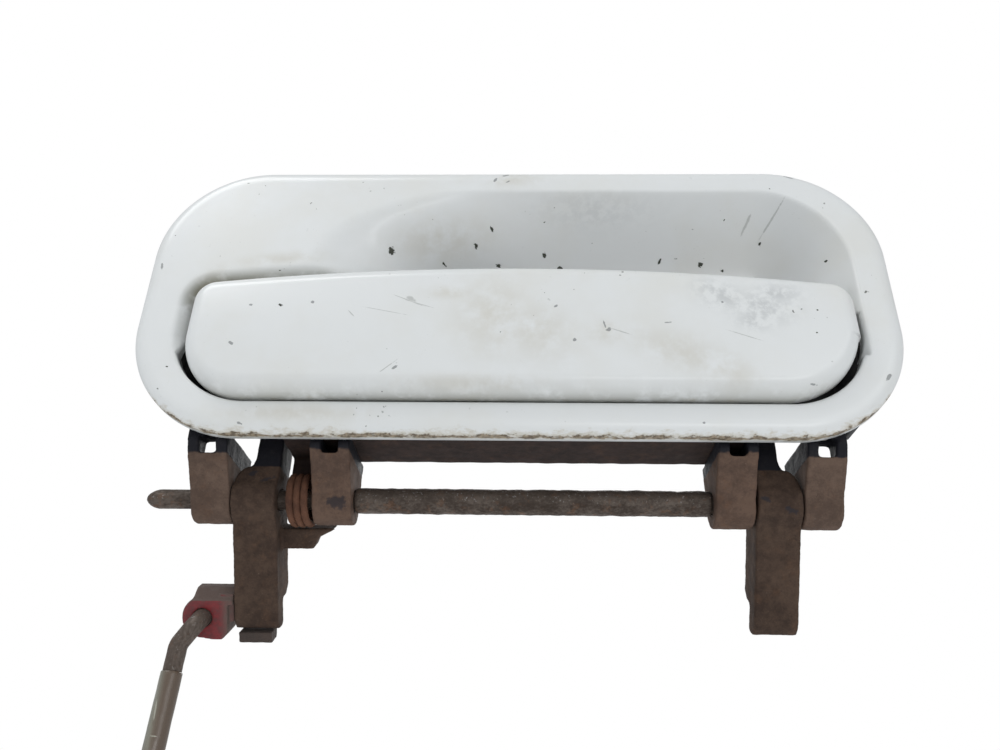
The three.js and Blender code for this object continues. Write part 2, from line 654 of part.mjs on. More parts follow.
// A pad under the lower end of the left arm.
function makeArmBuffer() {
  const { thick, front, rear, taper, left, right } = ARM_PAD;
  const top = CRANK_LENGTH + GAP;
  return alongX([
    onCrank(top, front), onCrank(top + thick, front + taper),
    onCrank(top + thick, rear - taper), onCrank(top, rear),
  ], [LEFT_ARM[0] + left, LEFT_ARM[1] - right]);
}

// ---- Clip, rod ------------------------------------------------------------------------------------------

// The clip: a round lobe about the rod's hook, a foot, a bevelled hood, and a lug that turns on the arm's ear.
function makeClip() {
  const { x, along } = HOOK;
  const { front, rear, bore, lobe, right, top, foot, hoodLeft, hoodTop, hoodFront } = CLIP;
  const { lugLeft, lugTop, lugBottom, lugFront } = CLIP;
  const lugEnd = LEFT_ARM[0] - GAP;
  const corner = THREE.MathUtils.radToDeg(Math.asin(-top / lobe)); // where the lobe meets the flat top
  const body = throughCrank([
    ...arc(x, along, lobe, 180 + corner, 105, 14), ...foot.map(([u, v]) => [x + u, along + v]),
    [x + right, along + top],
  ], [front, rear]);
  const hood = alongX([
    onCrank(along + top + PAST, front), onCrank(along + top, front), onCrank(along + hoodTop, hoodFront),
    onCrank(along + hoodTop, rear), onCrank(along + top + PAST, rear),
  ], [x + hoodLeft, lugEnd]);
  const lug = throughCrank([
    [x + lugLeft, along + lugTop], [lugEnd, along + lugTop], [lugEnd, along + lugBottom],
    [x + lugLeft, along + lugBottom],
  ], [lugFront, rear]);
  const hook = throughCrank(circle(x, along, bore, SMALL_ROUND_STEPS), [front - PAST, rear + PAST]);
  const earAt = onCrank(EAR.along, EAR.behind);
  const ear = alongX(circle(...earAt, EAR.radius + FIT, SMALL_ROUND_STEPS), [EAR.end - GAP, lugEnd + PAST]);
  return cut(join(body, hood, lug), hook, ear);
}

// A bar's centre line: straight runs between the given corners, each corner rounded to `bend`.
function roundedPath(corners, bend) {
  const path = new THREE.CurvePath();
  let from = corners[0];
  for (let i = 1; i < corners.length - 1; i += 1) {
    const before = corners[i - 1].clone().sub(corners[i]).normalize();
    const after = corners[i + 1].clone().sub(corners[i]).normalize();
    const cutBack = bend * Math.tan((Math.PI - before.angleTo(after)) / 2);
    const enter = corners[i].clone().addScaledVector(before, cutBack);
    const leave = corners[i].clone().addScaledVector(after, cutBack);
    path.add(new THREE.LineCurve3(from, enter));
    path.add(new THREE.QuadraticBezierCurve3(enter, corners[i], leave));
    from = leave;
  }
  path.add(new THREE.LineCurve3(from, corners[corners.length - 1]));
  return path;
}

function rodPath() {
  const { x, along, tip, elbow } = HOOK;
  return roundedPath([
    new THREE.Vector3(x, ...onCrank(along, tip)),
    new THREE.Vector3(x, ...onCrank(along, elbow)),
    new THREE.Vector3(SHANK.top[0], SHANK.y, SHANK.top[1]),
    new THREE.Vector3(SHANK.low[0], SHANK.y, SHANK.low[1]),
    new THREE.Vector3(TAIL.x, TAIL.y, TAIL.top),
    new THREE.Vector3(TAIL.x, TAIL.y, TAIL.bottom),
    new THREE.Vector3(TAIL.x + TAIL.foot, TAIL.y, TAIL.bottom),
  ], ROD_BEND);
}

// A straight tube around the shank, between two heights.
function makeSleeve() {
  const { inner, outer, top, bottom } = SLEEVE;
  const [upperX, upperZ] = SHANK.top;
  const [lowerX, lowerZ] = SHANK.low;
  const lean = Math.atan2(upperX - lowerX, upperZ - lowerZ);
  const centreX = upperX + ((bottom + top) / 2 - upperZ) * Math.tan(lean);
  const half = (top - bottom) / 2;
  const tube = turnedZ(ringProfile(inner, outer, -half, half), 0, 0, SMALL_ROUND_STEPS);
  return tube.rotateY(lean).translate(centreX, SHANK.y, (bottom + top) / 2);
}

// ---- Assembly -------------------------------------------------------------------------------------------

const handle = new THREE.Group();

function add(name, geometry, paint) {
  const mesh = new THREE.Mesh(geometry, paint);
  mesh.name = name;
  handle.add(mesh);
}

// Profile of a pan-head screw whose head rests at `seat` and whose shank reaches `depth` below it.
function screwProfile(seat, depth) {
  const { radius, head, headHeight } = SCREW;
  return [
    [0, seat - depth], [radius, seat - depth], [radius, seat], [head, seat],
    [head, seat + headHeight * 0.5], [head * 0.6, seat + headHeight], [0, seat + headHeight],
  ];
}

add('bezel', makeBezel(), PAINT());
add('bezel_gasket', makeGasket(), RUBBER());
for (const side of ['left', 'right']) {
  const [x, z] = BOSSES[side];
  const { face, sink, stud, reach } = BOSSES;
  const profile = [
    [0, face - sink], [stud, face - sink], [stud, reach - 1], [stud - 0.8, reach], [0, reach],
  ];
  add(`${side}_stud`, turnedY(profile, x, z, SMALL_ROUND_STEPS), ZINC());
}

add('rear_cover', makeCover(), BLACK_PLASTIC());
for (const [i, side] of ['left', 'right'].entries()) {
  const profile = screwProfile(COVER.front + COVER.sheet + GAP, LONG_SCREW);
  add(`${side}_cover_screw`, turnedY(profile, COVER.screwXs[i], COVER.screwZ, SCREW_SIDES), ZINC());
}

add('flap', makeFlap(), PAINT());
add('left_arm', makeLeftArm(), RUSTY_STEEL());
add('right_arm', makeRightArm(), RUSTY_STEEL());
for (const [side, span] of [['left', LEFT_ARM], ['right', RIGHT_ARM]]) {
  for (const [place, z] of [['lower', FLAP_SCREW_ZS[0]], ['upper', FLAP_SCREW_ZS[1]]]) {
    const head = FLAP_REAR + GAP + ARM_FOOT.thick + GAP;
    const profile = screwProfile(head, LONG_SCREW);
    add(`${side}_${place}_flap_screw`, turnedY(profile, middle(span), z, SCREW_SIDES), ZINC());
  }
}

add('hinge_pin', makePin(), PIN_STEEL());
const tubeSpan = [LEFT_INNER[1] + GAP, RIGHT_INNER[0] - GAP];
const tubeProfile = ringProfile(PIN.radius + FIT, TUBE_RADIUS, ...tubeSpan);
add('spacer_tube', turnedX(tubeProfile, PIN.y, PIN.z), PIN_STEEL());
add('return_spring', bar(new SpringPath(), COIL.wire, 72, 8), SPRING_STEEL());

add('hinge_rail', makeRail(), RUSTY_STEEL());
add('left_inner_bracket', makeInnerBracket(LEFT_INNER), RUSTY_STEEL());
add('right_inner_bracket', makeInnerBracket(RIGHT_INNER), RUSTY_STEEL());
add('left_outer_bracket', makeOuterBracket(LEFT_OUTER, -1), BLACK_STEEL());
add('right_outer_bracket', makeOuterBracket(RIGHT_OUTER, 1), BLACK_STEEL());
const shortScrew = screwProfile(LEDGE.top + GAP, SHORT_SCREW);
const longScrew = screwProfile(SEAT.top + GAP, LONG_SCREW);
for (const [place, x] of Object.entries(LEDGE_SCREWS)) {
  add(`${place}_rail_screw`, turnedZ(shortScrew, x, LEDGE_SCREW_Y, SCREW_SIDES), ZINC());
}
for (const [side, outer, inner] of [['left', LEFT_OUTER, LEFT_INNER], ['right', RIGHT_OUTER, RIGHT_INNER]]) {
  const outerScrew = turnedZ(shortScrew, middle(outer), LEDGE_SCREW_Y, SCREW_SIDES);
  add(`${side}_outer_bracket_screw`, outerScrew, ZINC());
  const innerScrew = turnedZ(longScrew, middle(inner), BRACKET_SCREW_Y, SCREW_SIDES);
  add(`${side}_inner_bracket_screw`, innerScrew, ZINC());
}

add('flap_buffer', makeFlapBuffer(), RUBBER());
add('arm_buffer', makeArmBuffer(), RUBBER());
add('rod_clip', makeClip(), RED_PLASTIC());
add('link_rod', bar(rodPath(), ROD_RADIUS, 46, 10), PIN_STEEL());
add('rod_sleeve', makeSleeve(), SLEEVE_PLASTIC());

export default handle;
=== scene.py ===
import math

import bmesh
import bpy
import numpy as np
from mathutils import Matrix, Vector, noise


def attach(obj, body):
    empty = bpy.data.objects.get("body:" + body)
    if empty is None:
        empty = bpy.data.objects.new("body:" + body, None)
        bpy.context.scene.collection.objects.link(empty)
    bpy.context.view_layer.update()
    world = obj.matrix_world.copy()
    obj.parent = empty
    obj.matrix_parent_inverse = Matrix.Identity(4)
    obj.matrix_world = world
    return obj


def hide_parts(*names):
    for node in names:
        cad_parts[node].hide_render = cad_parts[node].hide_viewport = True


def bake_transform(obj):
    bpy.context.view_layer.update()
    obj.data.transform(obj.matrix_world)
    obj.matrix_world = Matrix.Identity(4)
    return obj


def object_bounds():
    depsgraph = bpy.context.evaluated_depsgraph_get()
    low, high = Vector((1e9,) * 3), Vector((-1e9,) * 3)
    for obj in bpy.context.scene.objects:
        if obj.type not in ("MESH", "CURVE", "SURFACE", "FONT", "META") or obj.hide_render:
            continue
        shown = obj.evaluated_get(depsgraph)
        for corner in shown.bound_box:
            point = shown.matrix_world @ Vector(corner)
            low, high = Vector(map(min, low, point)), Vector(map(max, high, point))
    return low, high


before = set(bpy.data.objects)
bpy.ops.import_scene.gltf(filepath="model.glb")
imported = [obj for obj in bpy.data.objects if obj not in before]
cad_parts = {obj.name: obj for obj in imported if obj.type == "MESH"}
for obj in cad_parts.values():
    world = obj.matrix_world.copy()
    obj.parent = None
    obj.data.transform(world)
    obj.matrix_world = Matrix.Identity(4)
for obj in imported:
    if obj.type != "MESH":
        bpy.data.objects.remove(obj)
cad_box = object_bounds()

# ---- Driving dimensions, in millimetres --------------------------------------------------------------------
# X runs along the handle, Y into the door, Z up; the face of the handle looks along -Y.

MM = 0.001

# Outlines seen from the front: boxes with rounded corners, and a top edge that sinks by arch * x * x.
RIM = dict(left=-91, right=90.8, bottom=-38.5, top=37, low_left=28, low_right=28, high_left=27, high_right=27,
           arch=0)
RECESS = dict(left=-81.5, right=82, bottom=-31.4, top=8.4, low_left=20, low_right=20, high_left=7,
              high_right=4, arch=0.0008)
FLAP = dict(left=-77.5, right=79.8, bottom=-30.1, top=4.9, low_left=15, low_right=19.5, high_left=5.5,
            high_right=5.5, arch=0.00078)

# Section of the bezel.
RIM_LIP, RIM_CROWN, RIM_ROLL = 1.7, 4.3, 4
BEZEL_WALL = 2.6
RECESS_DROP, RECESS_RUN = 6.5, 4.5
DISH = dict(left=-52, right=82, top=29.8, bottom=-18, run_left=42, run_right=22, run_top=23, drop=17.8)
WINDOW_TOP, WINDOW_LEFT, WINDOW_MARGIN = -6, -77, 0.5
BOSSES, BOSS_RADIUS, BOSS_FACE = [(-66, 21), (66, 21)], 6.5, 18
COVER_SCREW_XS, COVER_SCREW_Z, COVER_FRONT, COVER_SHEET = (-4, 56), -1.6, 21, 1.4
LEDGES = [(-73.3, -66.2), (-47, 55.4), (66.4, 73.1)]
LEDGE_BOTTOM, LEDGE_TOP, LEDGE_REAR = -34.1, -32.3, 7.5
COVER_LEFT, COVER_RIGHT, COVER_BOTTOM, COVER_TOP, COVER_SIDE_FRONT = -82.3, 83.7, -28, 2, 5.3
STUD_RADIUS, STUD_REACH = 3, 36
FAR_FRONT, FAR_BACK = -20, 40

# Section of the flap.
FLAP_EDGE, FLAP_FACE, FLAP_BULGE, FLAP_ROLL, FLAP_REAR, FLAP_CHAMFER = -3.2, -8.3, 0.7, 4.2, -1.4, 2.6
FLAP_HOLLOW = dict(left=-49, right=49, bottom=-25, top=-3, floor=-5.6)
FLAP_SCREW_ZS = (-22, -9.9)

# Hinge and arms.
PIN_Y, PIN_Z, PIN_RADIUS, PIN_LEFT, PIN_RIGHT, PIN_CONE = 16, -47.4, 2.3, -88, 75, 3.2
TUBE_INNER, TUBE_OUTER, TUBE_SPAN = 2.45, 3, (-37.5, 45.9)
LEFT_OUTER, LEFT_ARM, LEFT_INNER = (-75.5, -66.2), (-65.9, -55.6), (-47, -37.8)
RIGHT_OUTER, RIGHT_ARM, RIGHT_INNER = (66.4, 75.3), (55.9, 66.1), (46.2, 55.4)
CRANK_LEAN = math.radians(32)
COIL_RADIUS, COIL_WIRE, COIL_LEG, COIL_SPAN = 5.5, 0.85, 13, (-53.8, -47.2)
COIL_TURNS = 3 - math.degrees(CRANK_LEAN) / 360
LEDGE_SCREW_Y, BRACKET_SCREW_Y, SEAT_TOP = 4.3, 15.4, -34.4
LEDGE_SCREW_XS = dict(left=-26, middle=4, right=34)
SCREW_RADIUS, SCREW_HEAD, SCREW_HEAD_HEIGHT = 1.3, 2.1, 1.7
GAP = 0.3

# Link rod, measured along the crank and behind its centre line where it hooks into the clip.
HOOK_X, HOOK_ALONG, HOOK_TIP, HOOK_ELBOW = -73.4, 27.2, 2.4, -8.6
ROD_RADIUS, ROD_BEND = 2.12, 3.2
SHANK_Y, SHANK_TOP, SHANK_LOW = 24, (-76.9, -79.6), (-79.3, -128)
TAIL_X, TAIL_Y, TAIL_TOP, TAIL_BOTTOM, TAIL_FOOT = -71.1, 31.8, -143, -212.1, 12
SLEEVE_INNER, SLEEVE_OUTER, SLEEVE_TOP, SLEEVE_BOTTOM = 2.22, 2.42, -85.6, -124

# ---- Camera, light and floor -------------------------------------------------------------------------------

CAMERA_PLACE = (2.3, -175.8, -115.3)
CAMERA_YAW, CAMERA_PITCH, CAMERA_ROLL = math.radians(1.88), math.radians(28), math.radians(-1.18)
CAMERA_LENS = 30.6


def make_camera():
    ahead = math.cos(CAMERA_PITCH)
    forward = Vector((-math.sin(CAMERA_YAW) * ahead, math.cos(CAMERA_YAW) * ahead, math.sin(CAMERA_PITCH)))
    level = Vector((math.cos(CAMERA_YAW), math.sin(CAMERA_YAW), 0))
    upright = level.cross(forward)
    right = level * math.cos(CAMERA_ROLL) - upright * math.sin(CAMERA_ROLL)
    up = level * math.sin(CAMERA_ROLL) + upright * math.cos(CAMERA_ROLL)
    camera = bpy.data.objects.new("photo_camera", bpy.data.cameras.new("photo_camera"))
    camera.data.lens = CAMERA_LENS
    camera.data.clip_start = 0.005
    turn = Matrix((right, up, -forward)).transposed().to_4x4()
    camera.matrix_world = Matrix.Translation(Vector(CAMERA_PLACE) * MM) @ turn
    bpy.context.collection.objects.link(camera)
    bpy.context.scene.camera = camera


def make_light(name, place, target, size, watts, colour=(1, 1, 1)):
    """A soft rectangular lamp; place and target are in metres, size is (width, height) in metres."""
    lamp = bpy.data.lights.new(name, "AREA")
    lamp.shape = "RECTANGLE"
    lamp.size, lamp.size_y = size
    lamp.energy = watts
    lamp.color = colour
    holder = bpy.data.objects.new(name, lamp)
    holder.location = place
    holder.rotation_euler = (Vector(target) - Vector(place)).to_track_quat("-Z", "Y").to_euler()
    bpy.context.collection.objects.link(holder)


def make_studio():
    make_light("key_softbox", (-0.45, -0.45, 0.75), (0, 0, -0.02), (0.5, 0.5), 3.5)
    make_light("fill_softbox", (0.55, -0.75, 0.1), (0, 0, -0.03), (0.55, 0.5), 0.95)
    make_light("low_strip", (0.25, -0.8, -0.14), (0.02, 0, 0), (0.45, 0.06), 0.55)
    make_light("back_softbox", (0.1, 0.8, 0.5), (0, 0, -0.05), (0.6, 0.6), 5)
    world = bpy.data.worlds.new("studio")
    bpy.context.scene.world = world
    world.use_nodes = True
    nodes, links = world.node_tree.nodes, world.node_tree.links
    room = nodes["Background"]
    room.inputs["Color"].default_value = (0.93, 0.965, 1, 1)
    room.inputs["Strength"].default_value = 0.52
    backdrop = nodes.new("ShaderNodeBackground")
    backdrop.inputs["Color"].default_value = (1, 1, 1, 1)
    chooser = nodes.new("ShaderNodeMixShader")
    links.new(nodes.new("ShaderNodeLightPath").outputs["Is Camera Ray"], chooser.inputs[0])
    links.new(room.outputs[0], chooser.inputs[1])
    links.new(backdrop.outputs[0], chooser.inputs[2])
    links.new(chooser.outputs[0], nodes["World Output"].inputs["Surface"])
    bpy.context.scene.view_settings.view_transform = "Standard"


def make_floor():
    half, level = 3.0, cad_box[0].z - 0.012
    mesh = bpy.data.meshes.new("floor")
    corners = [(-half, -half, level), (half, -half, level), (half, half, level), (-half, half, level)]
    mesh.from_pydata(corners, [], [(0, 1, 2, 3)])
    floor = bpy.data.objects.new("floor", mesh)
    bpy.context.collection.objects.link(floor)
    material = Graph("floor_paint", roughness=0.8)
    material.colour((0.86, 0.865, 0.87))
    mesh.materials.append(material.material)


# ---- Materials ---------------------------------------------------------------------------------------------

class Graph:
    """A node material about one Principled shader; places are read in object coordinates, in millimetres."""

    def __init__(self, name, **uniform):
        self.material = bpy.data.materials.new(name)
        self.material.use_nodes = True
        self.nodes, self.links = self.material.node_tree.nodes, self.material.node_tree.links
        self.shader = self.nodes["Principled BSDF"]
        for socket, value in uniform.items():
            self.shader.inputs[socket.replace("_", " ").title().replace("Ior", "IOR")].default_value = value
        self._place = None

    def plug(self, value, socket):
        if isinstance(value, bpy.types.NodeSocket):
            self.links.new(value, socket)
        elif socket.type == "RGBA":
            socket.default_value = (*value[:3], 1)
        else:
            socket.default_value = value

    def place(self):
        if self._place is None:
            coordinates = self.nodes.new("ShaderNodeTexCoord").outputs["Object"]
            self._place = self.vector("SCALE", coordinates, scale=1 / MM)
        return self._place

    def vector(self, operation, a, b=None, scale=None):
        node = self.nodes.new("ShaderNodeVectorMath")
        node.operation = operation
        self.plug(a, node.inputs[0])
        if b is not None:
            self.plug(b, node.inputs[1])
        if scale is not None:
            node.inputs["Scale"].default_value = scale
        return node.outputs["Value"] if operation in ("LENGTH", "DOT_PRODUCT") else node.outputs["Vector"]

    def math(self, operation, a, b=0.0, clamp=False):
        node = self.nodes.new("ShaderNodeMath")
        node.operation = operation
        node.use_clamp = clamp
        self.plug(a, node.inputs[0])
        self.plug(b, node.inputs[1])
        return node.outputs[0]

    def axis(self, index):
        node = self.nodes.new("ShaderNodeSeparateXYZ")
        self.plug(self.place(), node.inputs[0])
        return node.outputs[index]

    def noise(self, period, detail=3, rough=0.55, stretch=(1, 1, 1), seed=0):
        """Noise from 0 to 1 whose blobs are about `period` millimetres, stretched along each axis."""
        mapping = self.nodes.new("ShaderNodeMapping")
        self.plug(self.place(), mapping.inputs["Vector"])
        mapping.inputs["Location"].default_value = (seed * 17.3, seed * 5.1, seed * 9.7)
        mapping.inputs["Scale"].default_value = [1 / s for s in stretch]
        node = self.nodes.new("ShaderNodeTexNoise")
        self.plug(mapping.outputs[0], node.inputs["Vector"])
        node.inputs["Scale"].default_value = 1 / period
        node.inputs["Detail"].default_value = detail
        node.inputs["Roughness"].default_value = rough
        return node.outputs["Fac"]

    def step(self, value, low, high):
        """0 below `low`, 1 above `high`, smooth between; works downwards when low is above high."""
        node = self.nodes.new("ShaderNodeMapRange")
        node.interpolation_type = "SMOOTHSTEP"
        self.plug(value, node.inputs["Value"])
        node.inputs["From Min"].default_value = min(low, high)
        node.inputs["From Max"].default_value = max(low, high)
        node.inputs["To Min"].default_value = 0 if low < high else 1
        node.inputs["To Max"].default_value = 1 if low < high else 0
        return node.outputs["Result"]

    def times(self, *factors):
        product = factors[0]
        for factor in factors[1:]:
            product = self.math("MULTIPLY", product, factor)
        return product

    def most(self, *values):
        highest = values[0]
        for value in values[1:]:
            highest = self.math("MAXIMUM", highest, value)
        return highest

    def mix(self, factor, a, b):
        node = self.nodes.new("ShaderNodeMix")
        node.data_type = "RGBA"
        self.plug(factor, node.inputs["Factor"])
        self.plug(a, node.inputs[6])
        self.plug(b, node.inputs[7])
        return node.outputs[2]

    def layers(self, base, *coats):
        """Lays (mask, colour) coats over a base colour, in order."""
        for mask, colour in coats:
            base = self.mix(mask, base, colour)
        return base

    def field(self, name):
        node = self.nodes.new("ShaderNodeAttribute")
        node.attribute_name = name
        return node.outputs["Fac"]

    def marks(self, marks, wobble=0.35, period=0.9, seed=0, size=1.0):
        """Highest of a set of elliptic cones, 1 at a mark's centre and 0 at its rim. A mark is (x, z, half
        width, half height, tilt in degrees), seen from the front, and runs right through a piece to its rear;
        noise makes the outlines ragged."""
        ragged = self.math("SUBTRACT", self.noise(period, 2, seed=seed), 0.5)
        highest = None
        for x, z, width, height, tilt in marks:
            mapping = self.nodes.new("ShaderNodeMapping")
            mapping.vector_type = "TEXTURE"
            self.plug(self.place(), mapping.inputs["Vector"])
            mapping.inputs["Location"].default_value = (x, 0, z)
            mapping.inputs["Rotation"].default_value = (0, math.radians(-tilt), 0)
            mapping.inputs["Scale"].default_value = (width * size, 1e6, height * size)
            distance = self.vector("LENGTH", mapping.outputs[0])
            highest = distance if highest is None else self.math("MINIMUM", highest, distance)
        near = self.math("SUBTRACT", 1.0, highest)
        return self.math("ADD", near, self.math("MULTIPLY", ragged, wobble * 2))

    def colour(self, value):
        self.plug(value, self.shader.inputs["Base Color"])

    def roughness(self, value):
        self.plug(value, self.shader.inputs["Roughness"])

    def bump(self, *heights):
        """Surface relief: each height is (value from 0 to 1, millimetres)."""
        normal = None
        for value, depth in heights:
            node = self.nodes.new("ShaderNodeBump")
            node.inputs["Distance"].default_value = depth * MM
            self.plug(value, node.inputs["Height"])
            if normal is not None:
                self.links.new(normal, node.inputs["Normal"])
            normal = node.outputs["Normal"]
        self.links.new(normal, self.shader.inputs["Normal"])


PAINT = (0.775, 0.79, 0.785)
PAINT_WARM = (0.73, 0.725, 0.68)
GRIME = (0.20, 0.19, 0.135)
RUST = (0.17, 0.085, 0.045)
CHIP = (0.045, 0.05, 0.035)
# Black of the paint left under the bezel; it also serves as painted shade there.
BLACK_PAINT_AND_SHADE = (0.012, 0.012, 0.016)

# The larger marks, seen from the front, in millimetres: x, z, half width, half height, tilt in degrees.
DISH_CHIPS = [
    (-32, 14.8, 1.3, 1.2, 20), (-6.5, 22.8, 0.6, 0.9, 40), (-10.6, 19.4, 0.9, 0.8, 10),
    (-19, 15, 1.2, 0.4, -35), (-4.7, 16, 1.2, 0.6, 0), (7.3, 18.9, 0.9, 0.9, 50), (11.5, 16.4, 1, 0.7, 20),
    (38, 18, 0.5, 1.3, -30), (48.7, 17.4, 1, 0.8, -20), (54.6, 16, 0.6, 0.5, 0), (64, 21.4, 0.6, 0.8, -30),
    (78, 12, 0.5, 0.5, 0),
]
RIM_CHIPS = [
    (-3, 35.4, 1.8, 0.5, 20), (-5.6, 33.4, 0.6, 1.1, -30), (-2.4, 32.8, 1.2, 0.3, 30),
    (-87.8, 6, 0.5, 1.6, 10), (70.4, 34.6, 2.2, 0.4, -24), (84.5, -24, 0.6, 1.6, -42),
    (-61.6, -36.4, 1, 0.4, -20), (42, -35.7, 0.6, 0.4, 0),
]
FLAP_SPECKS = [
    (-55, -8.2, 0.8, 0.5, -20), (-47.6, -7.3, 0.6, 0.6, 30), (-62, -8.2, 0.6, 0.4, 0),
    (-65, -18.5, 0.9, 0.6, -30), (21.4, -14.6, 1, 0.9, 20), (20.5, -13.2, 0.3, 1.6, 15),
    (9.5, -8.3, 0.8, 0.5, 40), (35, -12.7, 1.4, 0.25, 4), (13.6, -17.3, 0.6, 0.7, 0),
    (66, -27.6, 1.6, 0.3, 4), (48, -7, 0.5, 0.4, 0), (-27, -24.6, 1.1, 0.5, 42),
]
FLAP_SCRATCHES = [
    (-25, -6.8, 6, 0.2, -24), (-22.4, -7.8, 5.2, 0.16, -18), (-24.4, -6.4, 2, 0.9, -35),
    (-38, -10.6, 1.7, 0.2, -48), (-28.4, -24.2, 3.6, 0.2, 40), (24.4, -15.2, 3.4, 0.2, -20),
    (52, -16, 6, 0.16, -20), (-31, -9.6, 8, 0.12, -12),
]
RIM_SCRATCHES = [(66, 25, 5, 0.35, 50), (60, 25, 3, 0.5, 60)]
FLAP_STAINS = [(-5, -11, 8, 10, 10), (5, -15, 9, 7, -20), (38, -20.5, 13, 4.5, -22), (47, -24.5, 8, 4, -30),
               (-15, -4.5, 6, 2, 0), (21, -15.5, 4.5, 3, 0), (-10, -28, 16, 1.8, 0)]
FLAP_SMUDGES = [(48, -5, 6, 3.5, -30), (57, -8.5, 6.5, 4.5, 0), (61, -4.5, 5, 2.5, 0), (55, -12, 4, 2.5, 0)]
RIM_STAINS = [(-2, 34, 8, 3, 0), (-75, 1.5, 5, 3, 55), (-58, 8.4, 10, 1.7, 6), (-20, 19, 12, 4, 12),
              (-50, -34, 16, 2, 0)]
RIM_SMUDGES = [(20, 27, 14, 2.5, 0)]
SLEEVE_DASHES = [(-80.6, -97, 0.35, 0.7, 4), (-80.9, -102, 0.5, 2, 4), (-81.2, -109, 0.5, 1.6, -6)]
SLEEVE_SCUFFS = [(-77.6, -99.3, 1.3, 0.2, -4), (-78.4, -94, 0.3, 3, 3)]


def white_paint(name, chips, specks, scratches):
    """Old gloss paint: faint mottling, fine scratches, chips down to the metal, and dirt where the mesh's own
    fields say that a stain, a smudge, an edge or a crevice lies."""
    g = Graph(name, coat_weight=0.25, coat_roughness=0.14, specular_ior_level=0.45)
    cloudy, fine = g.noise(26, 4, 0.6), g.noise(3.2, 4, 0.65, seed=1)
    speckle = g.noise(0.55, 2, 0.7, seed=2)
    body = g.mix(g.times(g.step(cloudy, 0.42, 0.72), 0.5), PAINT, PAINT_WARM)
    freckles = g.times(g.step(speckle, 0.66, 0.8), g.step(g.noise(9, 2, seed=3), 0.5, 0.7), 0.5)
    stained = g.times(g.field("stain"), g.step(g.noise(5, 3, 0.6, seed=4), 0.25, 0.65), 0.5)
    smudged = g.times(g.field("smudge"), g.step(g.noise(2.2, 3, 0.6, seed=5), 0.35, 0.62), 0.5)
    scratched = g.times(g.step(g.marks(scratches, 0.5, 1.2, seed=6), 0.15, 0.6), 0.55)
    specked = g.times(g.step(g.marks(specks, 0.6, 0.7, seed=7), 0.3, 0.5), 0.72)
    nicks = g.times(g.step(g.noise(1.1, 1, 0.5, seed=13), 0.735, 0.76),
                    g.step(g.noise(14, 2, seed=14), 0.56, 0.66))
    chipped = g.most(g.step(g.marks(chips, 0.85, 0.6, seed=8, size=0.85), 0.25, 0.42), nicks)
    crevice = g.times(g.field("crevice"), g.step(g.noise(5, 3, 0.6, seed=9), 0.2, 0.55), 0.95)
    flaking = g.math("ADD", g.field("flaking"),
                     g.times(g.math("SUBTRACT", g.noise(1.6, 4, 0.7, (2, 1, 1), 10), 0.5), 1.7))
    flaked = g.times(g.step(flaking, 0.72, 0.86), g.step(g.field("flaking"), 0.05, 0.3))
    halo = g.times(g.step(flaking, 0.3, 0.8), g.step(g.field("flaking"), 0.02, 0.3), 0.6)
    bare = g.mix(g.step(g.noise(1.1, 3, 0.6, seed=11), 0.4, 0.6), (0.13, 0.1, 0.065), (0.33, 0.27, 0.19))
    g.colour(g.layers(
        body, (freckles, (0.42, 0.42, 0.38)), (stained, (0.56, 0.53, 0.45)), (smudged, (0.40, 0.415, 0.42)),
        (scratched, (0.33, 0.34, 0.32)), (crevice, GRIME), (halo, (0.5, 0.44, 0.33)), (flaked, bare),
        (specked, (0.16, 0.17, 0.17)), (chipped, CHIP)))
    dull = g.most(stained, smudged, scratched, crevice, halo)
    g.roughness(g.math("ADD", g.math("ADD", 0.24, g.times(fine, 0.12)),
                       g.times(g.most(dull, chipped, flaked), 0.45)))
    g.bump((g.noise(7, 2, seed=12), 0.05), (g.math("SUBTRACT", 1.0, g.most(chipped, flaked)), 0.12),
           (speckle, 0.004))
    return g.material


def old_steel(name, tan, dark, rust=0.22, black=None, dark_marks=()):
    """Steel under rust-brown dust, mottled at three scales, with darker marks and pits. `black` is a
    function that takes the graph and gives the mask of the black above a height: partly black paint,
    partly painted shade under the bezel."""
    g = Graph(name, specular_ior_level=0.16)
    broad, medium, fine = g.noise(9, 4, 0.6), g.noise(1.9, 5, 0.65, seed=1), g.noise(0.42, 3, 0.7, seed=2)
    tone = g.math("ADD", g.times(broad, 0.45), g.math("ADD", g.times(medium, 0.35), g.times(fine, 0.2)))
    body = g.mix(g.step(tone, 0.38, 0.62), dark, tan)
    rusty = g.times(g.step(g.noise(4.5, 5, 0.7, seed=3), 0.5, 0.75), rust)
    flecks = g.times(g.step(fine, 0.66, 0.76), 0.5)
    pits = g.step(g.noise(0.8, 3, 0.7, seed=4), 0.66, 0.74)
    body = g.layers(body, (rusty, RUST), (flecks, (0.2, 0.165, 0.14)),
                    (g.times(pits, 0.5), (0.03, 0.021, 0.017)))
    # Darker listed marks: worn spots on the arms, and a darker band across the inner knuckles at the pin's
    # height.
    if dark_marks:
        darkened = g.times(g.step(g.marks(dark_marks, 0.9, 1.2, seed=9), 0.1, 0.6), 0.75)
        body = g.mix(darkened, body, (0.028, 0.027, 0.033))
    heights = [(broad, 0.2), (medium, 0.1), (g.math("SUBTRACT", fine, g.times(pits, 0.8)), 0.05)]
    rough = g.math("ADD", 0.68, g.times(fine, 0.3))
    # The black above a height is partly black paint and partly painted shade under the bezel.
    if black is not None:
        painted = black(g)
        dust = g.times(g.step(g.noise(2.6, 4, 0.65, seed=5), 0.5, 0.8), 0.3)
        coat = g.mix(dust, BLACK_PAINT_AND_SHADE, (0.045, 0.038, 0.036))
        body = g.mix(painted, body, coat)
        rough = g.math("SUBTRACT", rough, g.times(painted, 0.2))
    g.colour(body)
    g.roughness(rough)
    g.bump(*heights)
    return g.material


